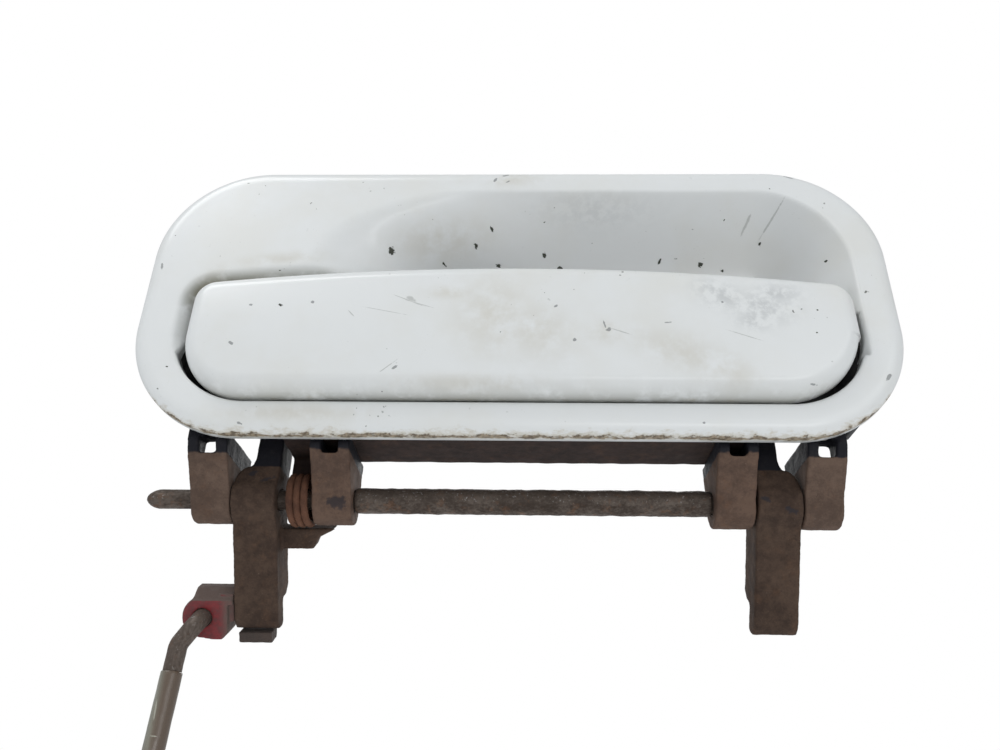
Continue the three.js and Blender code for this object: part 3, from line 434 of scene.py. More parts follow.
def worn_zinc(name, bright, film, streak):
    """Zinc under a brown film, with bright flecks; its upper faces are painted lighter as painted light from
    above, and the flecks keep to them. `streak` stretches the wear along one axis.
    """
    g = Graph(name, metallic=0.3, specular_ior_level=0.3)
    broad, fine = g.noise(4, 4, 0.6, streak), g.noise(0.6, 3, 0.7, streak, 1)
    worn = g.step(g.math("ADD", g.times(broad, 0.6), g.times(fine, 0.5)), 0.42, 0.72)
    normal = g.nodes.new("ShaderNodeNewGeometry").outputs["Normal"]
    # Faces that look up and forward; the colour below paints them lighter, as painted light from above.
    lit_top = g.step(g.vector("DOT_PRODUCT", normal, (0, -0.6, 0.8)), -0.1, 0.7)
    flecks = g.times(g.step(g.noise(0.7, 3, 0.75, seed=2), 0.6, 0.7), lit_top)
    rusty = g.times(g.step(g.noise(2.4, 4, 0.7, seed=3), 0.52, 0.68), 0.45)
    # The lightening of the upper faces in this mix is painted light.
    g.colour(g.layers(film, (worn, bright), (rusty, RUST), (g.times(lit_top, 0.35), bright),
                      (g.times(flecks, 0.7), (0.42, 0.4, 0.38))))
    g.roughness(g.math("SUBTRACT", 0.78, g.times(worn, 0.3)))
    g.bump((broad, 0.06), (fine, 0.03), (g.noise(1.2, 4, 0.7, seed=4), 0.05))
    return g.material


def dusty_plastic(name, colour, dust, dust_colour, roughness, bump=0.02, **uniform):
    g = Graph(name, **uniform)
    cloud, grain = g.noise(3.4, 4, 0.65), g.noise(0.35, 2, 0.6, seed=1)
    g.colour(g.mix(g.times(g.step(cloud, 0.35, 0.75), dust), colour, dust_colour))
    g.roughness(g.math("ADD", roughness, g.times(cloud, 0.25)))
    g.bump((grain, bump), (cloud, bump * 2))
    return g.material


def red_clip_plastic():
    """Faded red plastic, browner and rougher on its upper bevel, its right side, its rear and every other
    face turned away from its front, and in cloudy patches of dust.
    """
    g = Graph("red_clip_plastic", coat_weight=0.05)
    geometry = g.nodes.new("ShaderNodeNewGeometry")
    facing = g.vector("DOT_PRODUCT", geometry.outputs["Normal"],
                      (0, -math.cos(CRANK_LEAN), -math.sin(CRANK_LEAN)))
    cloud, grain = g.noise(1.6, 4, 0.65), g.noise(0.4, 3, 0.7, seed=1)
    # Browner on faces turned away from the front and towards +X.
    inboard = g.times(g.step(g.axis(0), -69.5, -67.5), 0.8)
    browned = g.math("ADD", g.most(g.step(facing, 0.93, 0.7), inboard), g.times(g.step(cloud, 0.5, 0.8), 0.3),
                   clamp=True)
    red = g.mix(g.step(cloud, 0.35, 0.65), (0.2, 0.018, 0.021), (0.13, 0.018, 0.02))
    g.colour(g.mix(browned, red, g.mix(grain, (0.09, 0.06, 0.05), (0.14, 0.10, 0.085))))
    g.roughness(g.math("ADD", 0.5, g.times(browned, 0.35)))
    g.bump((grain, 0.03), (cloud, 0.06))
    return g.material


def sleeve_plastic():
    """A thin glossy tube over the rod, grey-green, browner towards +X, with a few scuffs and short dark
    dashes."""
    g = Graph("sleeve_plastic", coat_weight=0.3, coat_roughness=0.15)
    lengthwise = (1, 1, 8)
    cloud, fine = g.noise(2.2, 4, 0.6, lengthwise), g.noise(0.5, 3, 0.7, (1, 1, 3), 1)
    body = g.mix(g.step(cloud, 0.35, 0.7), (0.185, 0.178, 0.142), (0.26, 0.25, 0.2))
    body = g.mix(g.step(g.axis(0), -79.2, -77), body, (0.12, 0.085, 0.06))
    dashes = g.step(g.marks(SLEEVE_DASHES, 0.4, 0.9), 0.2, 0.5)
    scuffs = g.step(g.marks(SLEEVE_SCUFFS, 0.3, 0.8), 0.2, 0.5)
    stains = g.times(g.step(g.noise(1.4, 4, 0.7, lengthwise, 2), 0.5, 0.68), 0.55)
    g.colour(g.layers(body, (stains, (0.15, 0.11, 0.08)), (g.times(dashes, 0.75), (0.06, 0.055, 0.09)),
                      (g.times(scuffs, 0.6), (0.5, 0.5, 0.42))))
    g.roughness(g.math("ADD", 0.2, g.times(fine, 0.25)))
    g.bump((fine, 0.03), (cloud, 0.04))
    return g.material


# ---- Meshes ------------------------------------------------------------------------------------------------

def add_piece(name, mesh, body, material, replaces=(), bend=None):
    """Makes a smooth-shaded piece that rides on a body and stands for CAD nodes. `bend`, when given, leaves
    the piece on no body, with its placement baked into its mesh."""
    mesh.materials.clear()
    mesh.materials.append(material)
    mesh.shade_smooth()
    piece = bpy.data.objects.new(name, mesh)
    bpy.context.collection.objects.link(piece)
    if bend is None:
        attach(piece, body)
    else:
        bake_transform(piece)
    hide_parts(*replaces)
    return piece


def new_mesh(name, points, faces):
    """A mesh from points in millimetres, with its normals pointing out."""
    mesh = bpy.data.meshes.new(name)
    faces = faces.tolist() if isinstance(faces, np.ndarray) else faces
    mesh.from_pydata((np.asarray(points, float) * MM).tolist(), [], faces)
    work = bmesh.new()
    work.from_mesh(mesh)
    bmesh.ops.recalc_face_normals(work, faces=work.faces)
    work.to_mesh(mesh)
    work.free()
    return mesh


def modified(mesh, *modifiers):
    """The mesh after some modifiers, each (type, settings)."""
    carrier = bpy.data.objects.new("carrier", mesh)
    bpy.context.collection.objects.link(carrier)
    for kind, settings in modifiers:
        modifier = carrier.modifiers.new(kind, kind)
        for key, value in settings.items():
            setattr(modifier, key, value)
    bpy.context.view_layer.update()
    result = bpy.data.meshes.new_from_object(carrier.evaluated_get(bpy.context.evaluated_depsgraph_get()))
    bpy.data.objects.remove(carrier)
    return result


def combined(mesh, operation, tools):
    """The mesh united with, or cut by, each of the tool meshes."""
    for tool in tools:
        holder = bpy.data.objects.new("tool", tool)
        bpy.context.collection.objects.link(holder)
        holder.hide_render = True
        mesh = modified(mesh, ("BOOLEAN", dict(object=holder, operation=operation, solver="MANIFOLD")))
        bpy.data.objects.remove(holder)
    return mesh


def clamp01(t):
    return np.clip(t, 0, 1)


def smooth(t):
    return t * t * (3 - 2 * t)


def lerp(a, b, t):
    return a + (b - a) * t


def top_edge(box, x):
    return box["top"] - box["arch"] * x * x


def inset(box, x, z):
    """Distance from (x, z) inwards to the edge of a box with rounded corners; negative outside it."""
    top = top_edge(box, x)
    left = x < (box["left"] + box["right"]) / 2
    low = z < (box["bottom"] + top) / 2
    radius = np.where(low, np.where(left, box["low_left"], box["low_right"]),
                      np.where(left, box["high_left"], box["high_right"]))
    across = np.where(left, x - box["left"], box["right"] - x)
    along = np.where(low, z - box["bottom"], top - z)
    a, b = radius - across, radius - along
    return np.where((a > 0) & (b > 0), radius - np.hypot(a, b), np.minimum(across, along))


def corner_rise(radius, across):
    """How far a rounded corner pulls the top or bottom edge in, `across` from the box's side."""
    return np.where(across < radius, radius - np.sqrt(np.maximum(radius**2 - (radius - across) ** 2, 0)), 0)


def rolled_edge(distance, run):
    return np.sqrt(1 - (1 - clamp01(distance / run)) ** 2)


def dish_drop(x, z):
    from_left = 1 - (x - DISH["left"]) / DISH["run_left"]
    from_right = 1 - (DISH["right"] - x) / DISH["run_right"]
    side = np.maximum(np.maximum(from_left, from_right), 0)
    above = np.maximum(1 - (DISH["top"] - z) / DISH["run_top"], 0)
    t = clamp01(1 - np.hypot(side, above))
    crisp = smooth(clamp01((x + 30) / 50))
    return np.where(z < DISH["bottom"], 0, DISH["drop"] * lerp(smooth(t), 1 - (1 - t) ** 2.4, crisp))


def hollow_depth(x, z):
    recess = RECESS_DROP * clamp01(inset(RECESS, x, z) / RECESS_RUN) ** 1.4
    return np.maximum(recess, dish_drop(x, z))


def bezel_front(x, z):
    return hollow_depth(x, z) - (RIM_LIP + (RIM_CROWN - RIM_LIP) * rolled_edge(inset(RIM, x, z), RIM_ROLL))


def bezel_rear(x, z):
    return np.maximum(hollow_depth(x, z) - RIM_CROWN + BEZEL_WALL, 0)


def flap_front(x, z):
    t = rolled_edge(inset(FLAP, x, z), FLAP_ROLL)
    across = (z - FLAP["bottom"]) / (top_edge(FLAP, x) - FLAP["bottom"])
    return FLAP_EDGE + (FLAP_FACE - FLAP_EDGE) * t - FLAP_BULGE * np.sin(np.pi * clamp01(across)) * smooth(t)


def flap_rear(x, z):
    return FLAP_REAR + (FLAP_EDGE + 0.7 - FLAP_REAR) * (1 - clamp01(inset(FLAP, x, z) / FLAP_CHAMFER))


def crowded(count):
    """count + 1 steps along 0..1, closer together towards both ends, where the edges roll over."""
    even = 0.22
    t = np.linspace(0, 1, count + 1)
    return even * t + (1 - even) * (1 - np.cos(np.pi * t)) / 2


def sheet(name, box, columns, rows, front, rear):
    """A closed sheet inside a box outline; its front and rear are heights y over (x, z)."""
    x = lerp(box["left"], box["right"], crowded(columns))
    left = x < (box["left"] + box["right"]) / 2
    across = np.where(left, x - box["left"], box["right"] - x)
    low = box["bottom"] + corner_rise(np.where(left, box["low_left"], box["low_right"]), across)
    high = top_edge(box, x) - corner_rise(np.where(left, box["high_left"], box["high_right"]), across)
    z = lerp(low[:, None], high[:, None], crowded(rows)[None, :])
    x = np.repeat(x[:, None], rows + 1, axis=1)
    sides = [np.stack([x, height(x, z), z], -1).reshape(-1, 3) for height in (front, rear)]
    at = np.arange((columns + 1) * (rows + 1)).reshape(columns + 1, rows + 1)
    quads = np.stack([at[:-1, :-1], at[1:, :-1], at[1:, 1:], at[:-1, 1:]], -1).reshape(-1, 4)
    loop = np.concatenate([at[:-1, 0], at[-1, :-1], at[:0:-1, -1], at[0, :0:-1]])
    follows = np.roll(loop, -1)
    wall = np.stack([loop, follows, follows + at.size, loop + at.size], -1)
    faces = np.concatenate([quads, quads[:, ::-1] + at.size, wall[:, ::-1]])
    return new_mesh(name, np.concatenate(sides), faces)


def arc(u, v, radius, start, end, steps):
    angles = np.radians(np.linspace(start, end, steps + 1))
    return np.stack([u + radius * np.cos(angles), v + radius * np.sin(angles)], -1)


def prism_y(outline, near, far):
    """An outline of (x, z) points, extruded along Y."""
    outline = np.asarray(outline, float)
    count = len(outline)
    points = [np.insert(outline, 1, y, axis=1) for y in (near, far)]
    faces = [list(range(count)), list(range(2 * count - 1, count - 1, -1))]
    faces += [[i, (i + 1) % count, count + (i + 1) % count, count + i] for i in range(count)]
    return new_mesh("prism", np.concatenate(points), faces)


def block(xs, ys, zs):
    return prism_y([(xs[0], zs[0]), (xs[1], zs[0]), (xs[1], zs[1]), (xs[0], zs[1])], *ys)


def disc_y(x, z, radius, near, far):
    return prism_y(arc(x, z, radius, 0, 352.5, 47), near, far)


def swept(path, radii, sides=24, closed=False, flatten=1.0):
    """A round bar along a path of points; radii is one number or one for each point."""
    path = np.asarray(path, float)
    radii = np.broadcast_to(radii, len(path))
    if closed:
        tangents = np.roll(path, -1, 0) - np.roll(path, 1, 0)
    else:
        tangents = np.gradient(path, axis=0)
    tangents /= np.linalg.norm(tangents, axis=1)[:, None]
    across = np.cross(tangents[0], (0, 1, 0) if abs(tangents[0][1]) < 0.9 else (1, 0, 0))
    rings = []
    angles = np.linspace(0, 2 * np.pi, sides, endpoint=False)
    for point, tangent, radius in zip(path, tangents, radii):
        across = across - tangent * (across @ tangent)
        across /= np.linalg.norm(across)
        other = np.cross(tangent, across)
        ring = np.outer(np.cos(angles), across) + flatten * np.outer(np.sin(angles), other)
        rings.append(point + radius * ring)
    at = np.arange(len(path) * sides).reshape(len(path), sides)
    follows = np.roll(at, -1, axis=1)
    if closed:
        onward, onward_follows = np.roll(at, -1, axis=0), np.roll(follows, -1, axis=0)
        quads = np.stack([at, follows, onward_follows, onward], -1).reshape(-1, 4)
        return new_mesh("bar", np.concatenate(rings), quads)
    quads = np.stack([at[:-1], follows[:-1], follows[1:], at[1:]], -1).reshape(-1, 4)
    return new_mesh("bar", np.concatenate(rings), quads.tolist() + [at[0][::-1].tolist(), at[-1].tolist()])


def turned(profile, place, axis, sides=48):
    """A solid of revolution from (radius, height) pairs about an axis through `place`; it closes on the axis,
    or on itself when its first and last pairs are the same."""
    ring = profile[0] == profile[-1]
    profile = np.asarray(profile[:-1] if ring else profile, float)
    turn = Vector((0, 0, 1)).rotation_difference(Vector(axis)).to_matrix()
    angles = np.linspace(0, 2 * np.pi, sides, endpoint=False)
    points = np.concatenate([
        np.stack([r * np.cos(angles), r * np.sin(angles), np.full(sides, h)], -1) for r, h in profile])
    points = points @ np.array(turn).T + np.asarray(place, float)
    at = np.arange(len(profile) * sides).reshape(len(profile), sides)
    onward = np.roll(at, -1, axis=0) if ring else at[1:]
    here = at if ring else at[:-1]
    quads = np.stack([here, np.roll(here, -1, 1), np.roll(onward, -1, 1), onward], -1).reshape(-1, 4)
    mesh = new_mesh("turned", points, quads)
    work = bmesh.new()
    work.from_mesh(mesh)
    bmesh.ops.remove_doubles(work, verts=work.verts, dist=1e-7)
    bmesh.ops.recalc_face_normals(work, faces=work.faces)
    work.to_mesh(mesh)
    work.free()
    return mesh


def roughen(mesh, *scales):
    """Moves each vertex along its normal by noise: scales are (period, height) in millimetres."""
    for vertex, normal in zip(mesh.vertices, [v.normal.copy() for v in mesh.vertices]):
        lift = sum(height * noise.noise(vertex.co / (period * MM)) for period, height in scales)
        vertex.co += normal * (lift * MM)
    return mesh


def recast(node, voxel, relax, scales=()):
    """The shape of a CAD node as a fine mesh with its corners worn round."""
    mesh = modified(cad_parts[node].data.copy(),
                    ("REMESH", dict(mode="VOXEL", voxel_size=voxel * MM)),
                    ("SMOOTH", dict(factor=0.5, iterations=relax)))
    return roughen(mesh, *scales) if scales else mesh


def add_field(mesh, name, values):
    mesh.attributes.new(name, "FLOAT", "POINT").data.foreach_set("value", np.asarray(values, np.float32))


def places(mesh):
    co = np.zeros(len(mesh.vertices) * 3, np.float32)
    mesh.vertices.foreach_get("co", co)
    return co.reshape(-1, 3).astype(float).T / MM


def soft_marks(marks, x, z):
    """Height from 0 to 1 of a set of soft elliptic patches over the places (x, z)."""
    height = np.zeros_like(x)
    for u, v, width, tall, tilt in marks:
        turn = math.radians(tilt)
        across = ((x - u) * math.cos(turn) + (z - v) * math.sin(turn)) / width
        along = ((z - v) * math.cos(turn) - (x - u) * math.sin(turn)) / tall
        height = np.maximum(height, np.exp(-(across**2 + along**2)))
    return height


# ---- The painted face --------------------------------------------------------------------------------------

def window_outline():
    """The hole behind the flap: it follows the recess's edge below and at the right."""
    radius = RECESS["low_left"]
    reach = radius - WINDOW_MARGIN
    return np.concatenate([
        [(WINDOW_LEFT, WINDOW_TOP)],
        arc(RECESS["left"] + radius, RECESS["bottom"] + radius, reach, 200, 270, 40),
        arc(RECESS["right"] - radius, RECESS["bottom"] + radius, reach, 270, 360, 50),
        [(RECESS["right"] - WINDOW_MARGIN, WINDOW_TOP)],
    ])


def far_back(x, z):
    """A flat height behind the whole part."""
    return np.full_like(x, FAR_BACK)


def make_bezel():
    mesh = sheet("bezel", RIM, 300, 146, bezel_front, bezel_rear)
    mesh = combined(mesh, "DIFFERENCE", [prism_y(window_outline(), FAR_FRONT, FAR_BACK)])
    behind = sheet("behind", RIM, 120, 60, lambda x, z: bezel_front(x, z) + BEZEL_WALL / 2, far_back)
    bosses = [disc_y(x, z, BOSS_RADIUS, -4, BOSS_FACE) for x, z in BOSSES]
    bosses += [disc_y(x, COVER_SCREW_Z, 3.4, 5, COVER_FRONT - GAP) for x in COVER_SCREW_XS]
    bosses = [combined(boss, "INTERSECT", [behind]) for boss in bosses]
    ledges = [block(span, (-1, LEDGE_REAR), (LEDGE_BOTTOM, LEDGE_TOP)) for span in LEDGES]
    mesh = combined(mesh, "UNION", bosses + ledges)
    x, y, z = places(mesh)
    on_front = y < bezel_rear(x, z) - 0.4
    edge, recess, dish = inset(RIM, x, z), inset(RECESS, x, z), dish_drop(x, z)
    low = smooth(clamp01((-24 - z) / 10))
    flaking = on_front * np.exp(-np.maximum(edge, 0) / lerp(0.35, 1.1, low)) * lerp(0.45, 0.95, low)
    add_field(mesh, "flaking", flaking)
    upper_left = clamp01((z + 8) / 8) * clamp01((-40 - x) / 30)
    shut = np.exp(-((recess - 2.2) / 1.6) ** 2) * (dish < 3) * lerp(0.25, 1, upper_left)
    add_field(mesh, "crevice", on_front * clamp01(shut))
    add_field(mesh, "stain", soft_marks(RIM_STAINS, x, z))
    add_field(mesh, "smudge", 0.4 * soft_marks(RIM_SMUDGES, x, z))
    paint = white_paint("bezel_paint", DISH_CHIPS, RIM_CHIPS, RIM_SCRATCHES)
    add_piece("bezel_shell", mesh, "housing", paint, ["bezel"])


def make_flap():
    hollow = FLAP_HOLLOW
    mesh = sheet("flap", FLAP, 250, 110, flap_front, flap_rear)
    mesh = combined(mesh, "DIFFERENCE", [block((hollow["left"], hollow["right"]), (hollow["floor"], 1),
                                               (hollow["bottom"], hollow["top"]))])
    x, y, z = places(mesh)
    edge = inset(FLAP, x, z)
    low = smooth(clamp01((-22 - z) / 6))
    add_field(mesh, "flaking", np.exp(-np.maximum(edge, 0) / 0.5) * low * 0.3)
    add_field(mesh, "crevice", clamp01(np.exp(-np.maximum(edge, 0) / 1.1) * low * 0.5))
    add_field(mesh, "stain", soft_marks(FLAP_STAINS, x, z))
    add_field(mesh, "smudge", soft_marks(FLAP_SMUDGES, x, z))
    paint = white_paint("flap_paint", FLAP_SPECKS[:1], FLAP_SPECKS, FLAP_SCRATCHES)
    add_piece("flap_panel", mesh, "handle", paint, ["flap"])


# ---- Castings, pressings and moulded pieces ----------------------------------------------------------------

ARM_BRUISES = [(-61.8, -42.6, 1.6, 0.8, 20), (-58, -44, 2.4, 0.7, 25), (57.5, -48.2, 1.7, 0.8, -20),
               (63, -50.5, 2, 0.8, -25)]
# A darker band across the inner knuckles at the pin's height.
KNUCKLE_DARK_BAND = [(-41, -49.6, 3.6, 1.9, -5)]
TAN, BROWN = (0.088, 0.057, 0.041), (0.045, 0.029, 0.022)


def black_and_shade_above(height, ragged=0.5):
    """Mask of the black above a height: partly black paint, partly painted shade under the bezel's lower
    edge.
    """
    def mask(g):
        level = g.math("ADD", g.axis(2),
                       g.times(g.math("SUBTRACT", g.noise(2.2, 4, 0.6, seed=8), 0.5), ragged * 2))
        return g.step(level, height - 0.25, height + 0.25)
    return mask


def make_castings():
    wear = [(2.6, 0.1), (0.7, 0.05)]
    # Black above each height: partly black paint, partly painted shade under the bezel.
    arm_steel = old_steel("arm_steel", TAN, BROWN, black=black_and_shade_above(-40.7, 0.25), dark_marks=ARM_BRUISES)
    knuckle_steel = old_steel("knuckle_steel", (0.145, 0.098, 0.074), (0.09, 0.06, 0.046),
                              black=black_and_shade_above(-40.3))
    inner_steel = old_steel("inner_knuckle_steel", (0.145, 0.093, 0.068), (0.085, 0.055, 0.042), rust=0.35,
                            black=black_and_shade_above(-39.6), dark_marks=KNUCKLE_DARK_BAND)
    rail_steel = old_steel("rail_steel", (0.052, 0.034, 0.029), (0.028, 0.02, 0.018))
    for node, body, slot, material in [
        ("left_arm", "handle", "dusty_steel", arm_steel), ("right_arm", "handle", "dusty_steel", arm_steel),
        ("left_inner_bracket", "housing", "dusty_steel", inner_steel),
        ("right_inner_bracket", "housing", "dusty_steel", inner_steel),
        ("left_outer_bracket", "housing", "black_steel", knuckle_steel),
        ("right_outer_bracket", "housing", "black_steel", knuckle_steel),
    ]:
        add_piece(f"{node}_casting", recast(node, 0.36, 5, wear), body, material, [node])
    add_piece("hinge_rail_pressing", recast("hinge_rail", 0.42, 4, [(3, 0.12)]), "housing",
              rail_steel, ["hinge_rail"])


def make_moulded():
    black = dusty_plastic("black_plastic", (0.02, 0.02, 0.022), 0.5, (0.06, 0.055, 0.05), 0.45)
    rubber = dusty_plastic("black_rubber", (0.018, 0.017, 0.017), 0.5, (0.05, 0.042, 0.038), 0.7, 0.04)
    # The black rear cover and the black foam strips behind the window are dark sheets that stand for the
    # shade seen through the gaps round the flap: painted shade.
    add_piece("rear_shade_cover_moulding", recast("rear_cover", 0.5, 3), "housing", black,
              ["rear_cover"])
    brown_rubber = dusty_plastic("dusty_rubber", (0.05, 0.036, 0.03), 0.8, (0.075, 0.052, 0.042), 0.75, 0.04)
    behind = sheet("behind", RIM, 120, 60, lambda x, z: bezel_rear(x, z) + 0.1, far_back)
    strip = block((COVER_LEFT, COVER_RIGHT), (GAP, COVER_FRONT - 0.1), (COVER_TOP - COVER_SHEET, COVER_TOP))
    add_piece("top_shade_cover_foam", combined(strip, "INTERSECT", [behind]), "housing", rubber)
    for side, x in (("left", COVER_LEFT), ("right", COVER_RIGHT - COVER_SHEET)):
        upright = block((x, x + COVER_SHEET), (GAP, COVER_SIDE_FRONT - 0.1), (COVER_BOTTOM, COVER_TOP))
        strip = modified(upright, ("REMESH", dict(mode="VOXEL", voxel_size=0.25 * MM)),
                         ("SMOOTH", dict(factor=0.5, iterations=4)))
        add_piece(f"{side}_shade_cover_foam", roughen(strip, (1, 0.06)), "housing", rubber)
    add_piece("arm_pad", recast("arm_buffer", 0.2, 4, [(1.2, 0.06)]), "handle", brown_rubber,
              ["arm_buffer"])
    add_piece("flap_pad", recast("flap_buffer", 0.2, 4), "housing", rubber, ["flap_buffer"])
    add_piece("rod_clip_moulding", recast("rod_clip", 0.22, 12, [(1.4, 0.04)]), "clip",
              red_clip_plastic(), ["rod_clip"])
    outline = []
    margin = 1.4
    for side, end, corner, start in [
        ("right", "top", "high_right", 0), ("left", "top", "high_left", 90),
        ("left", "bottom", "low_left", 180), ("right", "bottom", "low_right", 270),
    ]:
        radius = RIM[corner]
        x = RIM[side] - radius if side == "right" else RIM[side] + radius
        z = RIM[end] - radius if end == "top" else RIM[end] + radius
        outline += [(u, 0.9, v) for u, v in arc(x, z, radius - margin, start, start + 90, 30)]
    add_piece("bezel_seal", swept(outline, 0.66, 16, closed=True, flatten=0.85), "housing",
              rubber, ["bezel_gasket"])


# ---- Pin, spring, rod --------------------------------------------------------------------------------------

def on_crank(along, behind):
    """(y, z) of a point on the crank: `along` it from the pin and `behind` its centre line."""
    sin, cos = math.sin(CRANK_LEAN), math.cos(CRANK_LEAN)
    return PIN_Y + along * sin + behind * cos, PIN_Z - along * cos + behind * sin


def make_pin():
    zinc = worn_zinc("pin_zinc", (0.12, 0.095, 0.078), (0.05, 0.036, 0.028), (1.6, 1, 1))
    tip = PIN_LEFT + PIN_CONE
    body = np.arange(tip + 0.8, PIN_RIGHT - 0.5, 0.6)
    nose = np.linspace(0, 1, 9)
    profile = [(PIN_RADIUS * math.sin(t * math.pi / 2) ** 0.8, PIN_LEFT + (PIN_CONE + 0.5) * t**1.3)
               for t in nose]
    profile += [(PIN_RADIUS, x) for x in body] + [(PIN_RADIUS - 0.3, PIN_RIGHT), (0, PIN_RIGHT)]
    mesh = roughen(turned(profile, (0, PIN_Y, PIN_Z), (1, 0, 0), 40), (2, 0.05), (0.6, 0.03))
    add_piece("hinge_pin_turned", mesh, "housing", zinc, ["hinge_pin"])
    left, right = TUBE_SPAN
    along = list(np.linspace(left + 0.3, right - 0.3, 150))
    profile = [(TUBE_INNER, left)] + [(TUBE_OUTER - 0.2, left)] + [(TUBE_OUTER, x) for x in along]
    profile += [(TUBE_OUTER - 0.2, right), (TUBE_INNER, right), (TUBE_INNER, left)]
    mesh = roughen(turned(profile, (0, PIN_Y, PIN_Z), (1, 0, 0), 48), (2.4, 0.16), (0.7, 0.06))
    add_piece("spacer_tube_turned", mesh, "housing", zinc, ["spacer_tube"])


def make_spring():
    sweep = COIL_TURNS * 2 * math.pi
    left, right = COIL_SPAN
    length = 2 * COIL_LEG + sweep * COIL_RADIUS
    path = []
    for along in np.linspace(-COIL_LEG, length - COIL_LEG, 300):
        turn = min(max(along / (sweep * COIL_RADIUS), 0), 1)
        angle = CRANK_LEAN + turn * sweep
        over = along - turn * sweep * COIL_RADIUS
        path.append((lerp(left + COIL_WIRE, right - COIL_WIRE, turn),
                     PIN_Y + COIL_RADIUS * math.cos(angle) - over * math.sin(angle),
                     PIN_Z + COIL_RADIUS * math.sin(angle) + over * math.cos(angle)))
    mesh = roughen(swept(path, COIL_WIRE, 20), (1.1, 0.09), (0.4, 0.05))
    steel = old_steel("spring_rust", (0.14, 0.066, 0.04), (0.07, 0.034, 0.023), rust=0.5)
    # The lower leg lies on the left arm's web.
    leg = [(left, *on_crank(along, COIL_RADIUS)) for along in (1, 7)]
    add_piece("return_spring_wound", mesh, "housing", steel, ["return_spring"],
              bend=("handle", *leg))


def rounded_path(corners, bend, spacing=0.8):
    """Points along straight runs between corners, each corner rounded with a quadratic curve."""
    corners = [Vector(c) for c in corners]
    points, start = [], corners[0]

    def run(a, b):
        count = max(int((b - a).length / spacing), 1)
        return [a.lerp(b, i / count) for i in range(count)]

    for before, here, after in zip(corners, corners[1:], corners[2:]):
        back, onward = (before - here).normalized(), (after - here).normalized()
        cut_back = bend * math.tan((math.pi - back.angle(onward)) / 2)
        enter, leave = here + back * cut_back, here + onward * cut_back
        points += run(start, enter)
        points += [enter.lerp(here, i / 10).lerp(here.lerp(leave, i / 10), i / 10) for i in range(10)]
        start = leave
    return [tuple(p) for p in points + run(start, corners[-1]) + [corners[-1]]]


def make_rod():
    corners = [
        (HOOK_X, *on_crank(HOOK_ALONG, HOOK_TIP)), (HOOK_X, *on_crank(HOOK_ALONG, HOOK_ELBOW)),
        (SHANK_TOP[0], SHANK_Y, SHANK_TOP[1]), (SHANK_LOW[0], SHANK_Y, SHANK_LOW[1]),
        (TAIL_X, TAIL_Y, TAIL_TOP),
        (TAIL_X, TAIL_Y, TAIL_BOTTOM), (TAIL_X + TAIL_FOOT, TAIL_Y, TAIL_BOTTOM),
    ]
    path = rounded_path(corners, ROD_BEND)
    radii = np.full(len(path), ROD_RADIUS, float)
    radii[[0, -1]] = ROD_RADIUS - 0.45
    mesh = roughen(swept(path, radii, 32), (2.5, 0.05), (0.7, 0.03))
    zinc = worn_zinc("rod_zinc", (0.15, 0.12, 0.1), (0.07, 0.052, 0.042), (1, 1, 2))
    add_piece("link_rod_bent", mesh, "rod", zinc, ["link_rod"])
    top, low = Vector((SHANK_TOP[0], SHANK_Y, SHANK_TOP[1])), Vector((SHANK_LOW[0], SHANK_Y, SHANK_LOW[1]))
    axis = (top - low).normalized()
    centre = low + axis * (((SLEEVE_TOP + SLEEVE_BOTTOM) / 2 - low.z) / axis.z)
    half = (SLEEVE_TOP - SLEEVE_BOTTOM) / 2
    heights = np.linspace(-half + 0.15, half - 0.15, 60)
    profile = [(SLEEVE_INNER, -half), (SLEEVE_OUTER - 0.12, -half)] + [(SLEEVE_OUTER, h) for h in heights]
    profile += [(SLEEVE_OUTER - 0.12, half), (SLEEVE_INNER, half), (SLEEVE_INNER, -half)]
    mesh = roughen(turned(profile, centre, axis, 40), (3.5, 0.06))
    add_piece("rod_sleeve_tube", mesh, "rod", sleeve_plastic(), ["rod_sleeve"])


# ---- Fasteners ---------------------------------------------------------------------------------------------

def screw_mesh(place, axis, depth):
    """A pan-head screw with a cross recess; its head rests on `place` and its shank runs back along the
    axis."""
    head, tall = SCREW_HEAD, SCREW_HEAD_HEIGHT
    rises = np.radians(np.linspace(0, 80, 9))
    dome = [(head * math.cos(a), tall * 0.35 + tall * 0.65 * math.sin(a)) for a in rises]
    pitch, low = 0.8, 0.12
    shank = []
    for i in range(int((depth - 0.8) / pitch)):
        h = -depth + 0.6 + i * pitch
        shank += [(SCREW_RADIUS - low * 2, h), (SCREW_RADIUS, h + pitch / 2)]
    profile = [(0, -depth), (SCREW_RADIUS * 0.5, -depth)] + shank
    profile += [(SCREW_RADIUS - 0.1, -0.2), (SCREW_RADIUS - 0.1, 0), (head, 0)] + dome + [(0, tall)]
    mesh = turned(profile, (0, 0, 0), (0, 0, 1), 32)
    wide, long = 0.28, 1.15
    slots = []
    for a, b in ((wide, long), (long, wide)):
        slot_mesh = bpy.data.meshes.new("slot")
        corners = [(-a, -b), (a, -b), (a, b), (-a, b)]
        points = [(x * k * MM, y * k * MM, z * MM)
                  for z, k in ((tall - 1, 0.45), (tall + 0.4, 1.1)) for x, y in corners]
        slot_mesh.from_pydata(points, [], [(3, 2, 1, 0), (4, 5, 6, 7), (0, 1, 5, 4), (1, 2, 6, 5),
                                           (2, 3, 7, 6), (3, 0, 4, 7)])
        slots.append(slot_mesh)
    mesh = combined(mesh, "DIFFERENCE", slots)
    turn = Vector((0, 0, 1)).rotation_difference(Vector(axis)).to_matrix().to_4x4()
    mesh.transform(Matrix.Translation(Vector(place) * MM) @ turn)
    return mesh


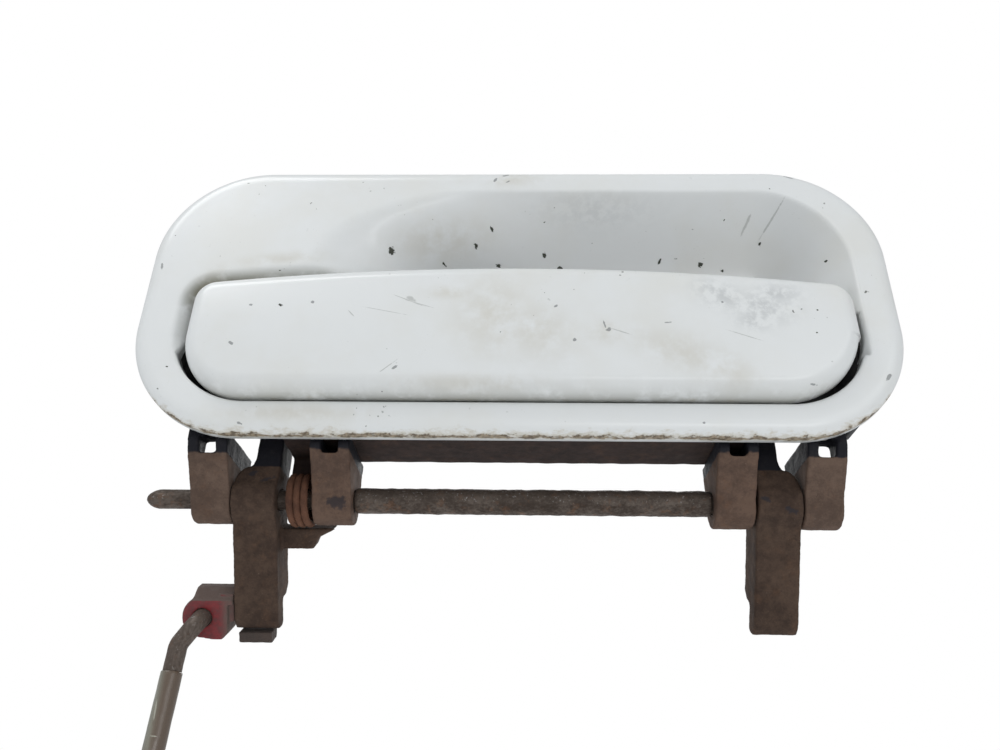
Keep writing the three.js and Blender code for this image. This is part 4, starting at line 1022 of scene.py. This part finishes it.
def stud_mesh(x, z):
    """A stud with a helical thread over all of its free length."""
    pitch, sides = 1.0, 36
    heights = np.arange(BOSS_FACE - 5.6, STUD_REACH - 0.9, pitch / 8)
    angles = np.linspace(0, 2 * np.pi, sides, endpoint=False)
    phase = (heights[:, None] / pitch - angles[None, :] / (2 * np.pi)) % 1
    radius = STUD_RADIUS - 0.5 * np.abs(2 * phase - 1) - 0.02
    rings = [np.stack([x + r * np.cos(angles), np.full(sides, h), z + r * np.sin(angles)], -1)
             for r, h in zip(radius, heights)]
    tip_radius = 1.9
    rings.append(np.stack([x + tip_radius * np.cos(angles), np.full(sides, STUD_REACH),
                           z + tip_radius * np.sin(angles)], -1))
    at = np.arange(len(rings) * sides).reshape(len(rings), sides)
    follows = np.roll(at, -1, axis=1)
    quads = np.stack([at[:-1], follows[:-1], follows[1:], at[1:]], -1).reshape(-1, 4)
    return new_mesh("stud", np.concatenate(rings), quads.tolist() + [at[0][::-1].tolist(), at[-1].tolist()])


def middle(span):
    return (span[0] + span[1]) / 2


def make_fasteners():
    zinc = worn_zinc("screw_zinc", (0.42, 0.4, 0.35), (0.2, 0.17, 0.13), (1, 1, 1))
    ledge_seat, foot_rear = LEDGE_TOP + GAP, FLAP_REAR + GAP + 2.4 + GAP
    rear, up = (0, 1, 0), (0, 0, 1)
    screws = [(f"{side}_rail_screw", "housing", (x, LEDGE_SCREW_Y, ledge_seat), up, 3.8)
              for side, x in LEDGE_SCREW_XS.items()]
    for side, outer, inner, arm in [
        ("left", LEFT_OUTER, LEFT_INNER, LEFT_ARM), ("right", RIGHT_OUTER, RIGHT_INNER, RIGHT_ARM),
    ]:
        screws += [
            (f"{side}_outer_bracket_screw", "housing", (middle(outer), LEDGE_SCREW_Y, ledge_seat), up, 3.8),
            (f"{side}_inner_bracket_screw", "housing", (middle(inner), BRACKET_SCREW_Y, SEAT_TOP + GAP),
             up, 6),
            (f"{side}_lower_flap_screw", "handle", (middle(arm), foot_rear, FLAP_SCREW_ZS[0]), rear, 6),
            (f"{side}_upper_flap_screw", "handle", (middle(arm), foot_rear, FLAP_SCREW_ZS[1]), rear, 6),
        ]
    for side, x in zip(("left", "right"), COVER_SCREW_XS):
        screws.append((f"{side}_cover_screw", "housing", (x, COVER_FRONT + COVER_SHEET + GAP, COVER_SCREW_Z),
                       rear, 6))
    for node, body, place, axis, depth in screws:
        add_piece(f"{node}_threaded", screw_mesh(place, axis, depth), body, zinc, [node])
    for side, (x, z) in zip(("left", "right"), BOSSES):
        add_piece(f"{side}_stud_threaded", stud_mesh(x, z), "housing", zinc, [f"{side}_stud"])


make_camera()
make_studio()
make_floor()
make_bezel()
make_flap()
make_castings()
make_moulded()
make_pin()
make_spring()
make_rod()
make_fasteners()
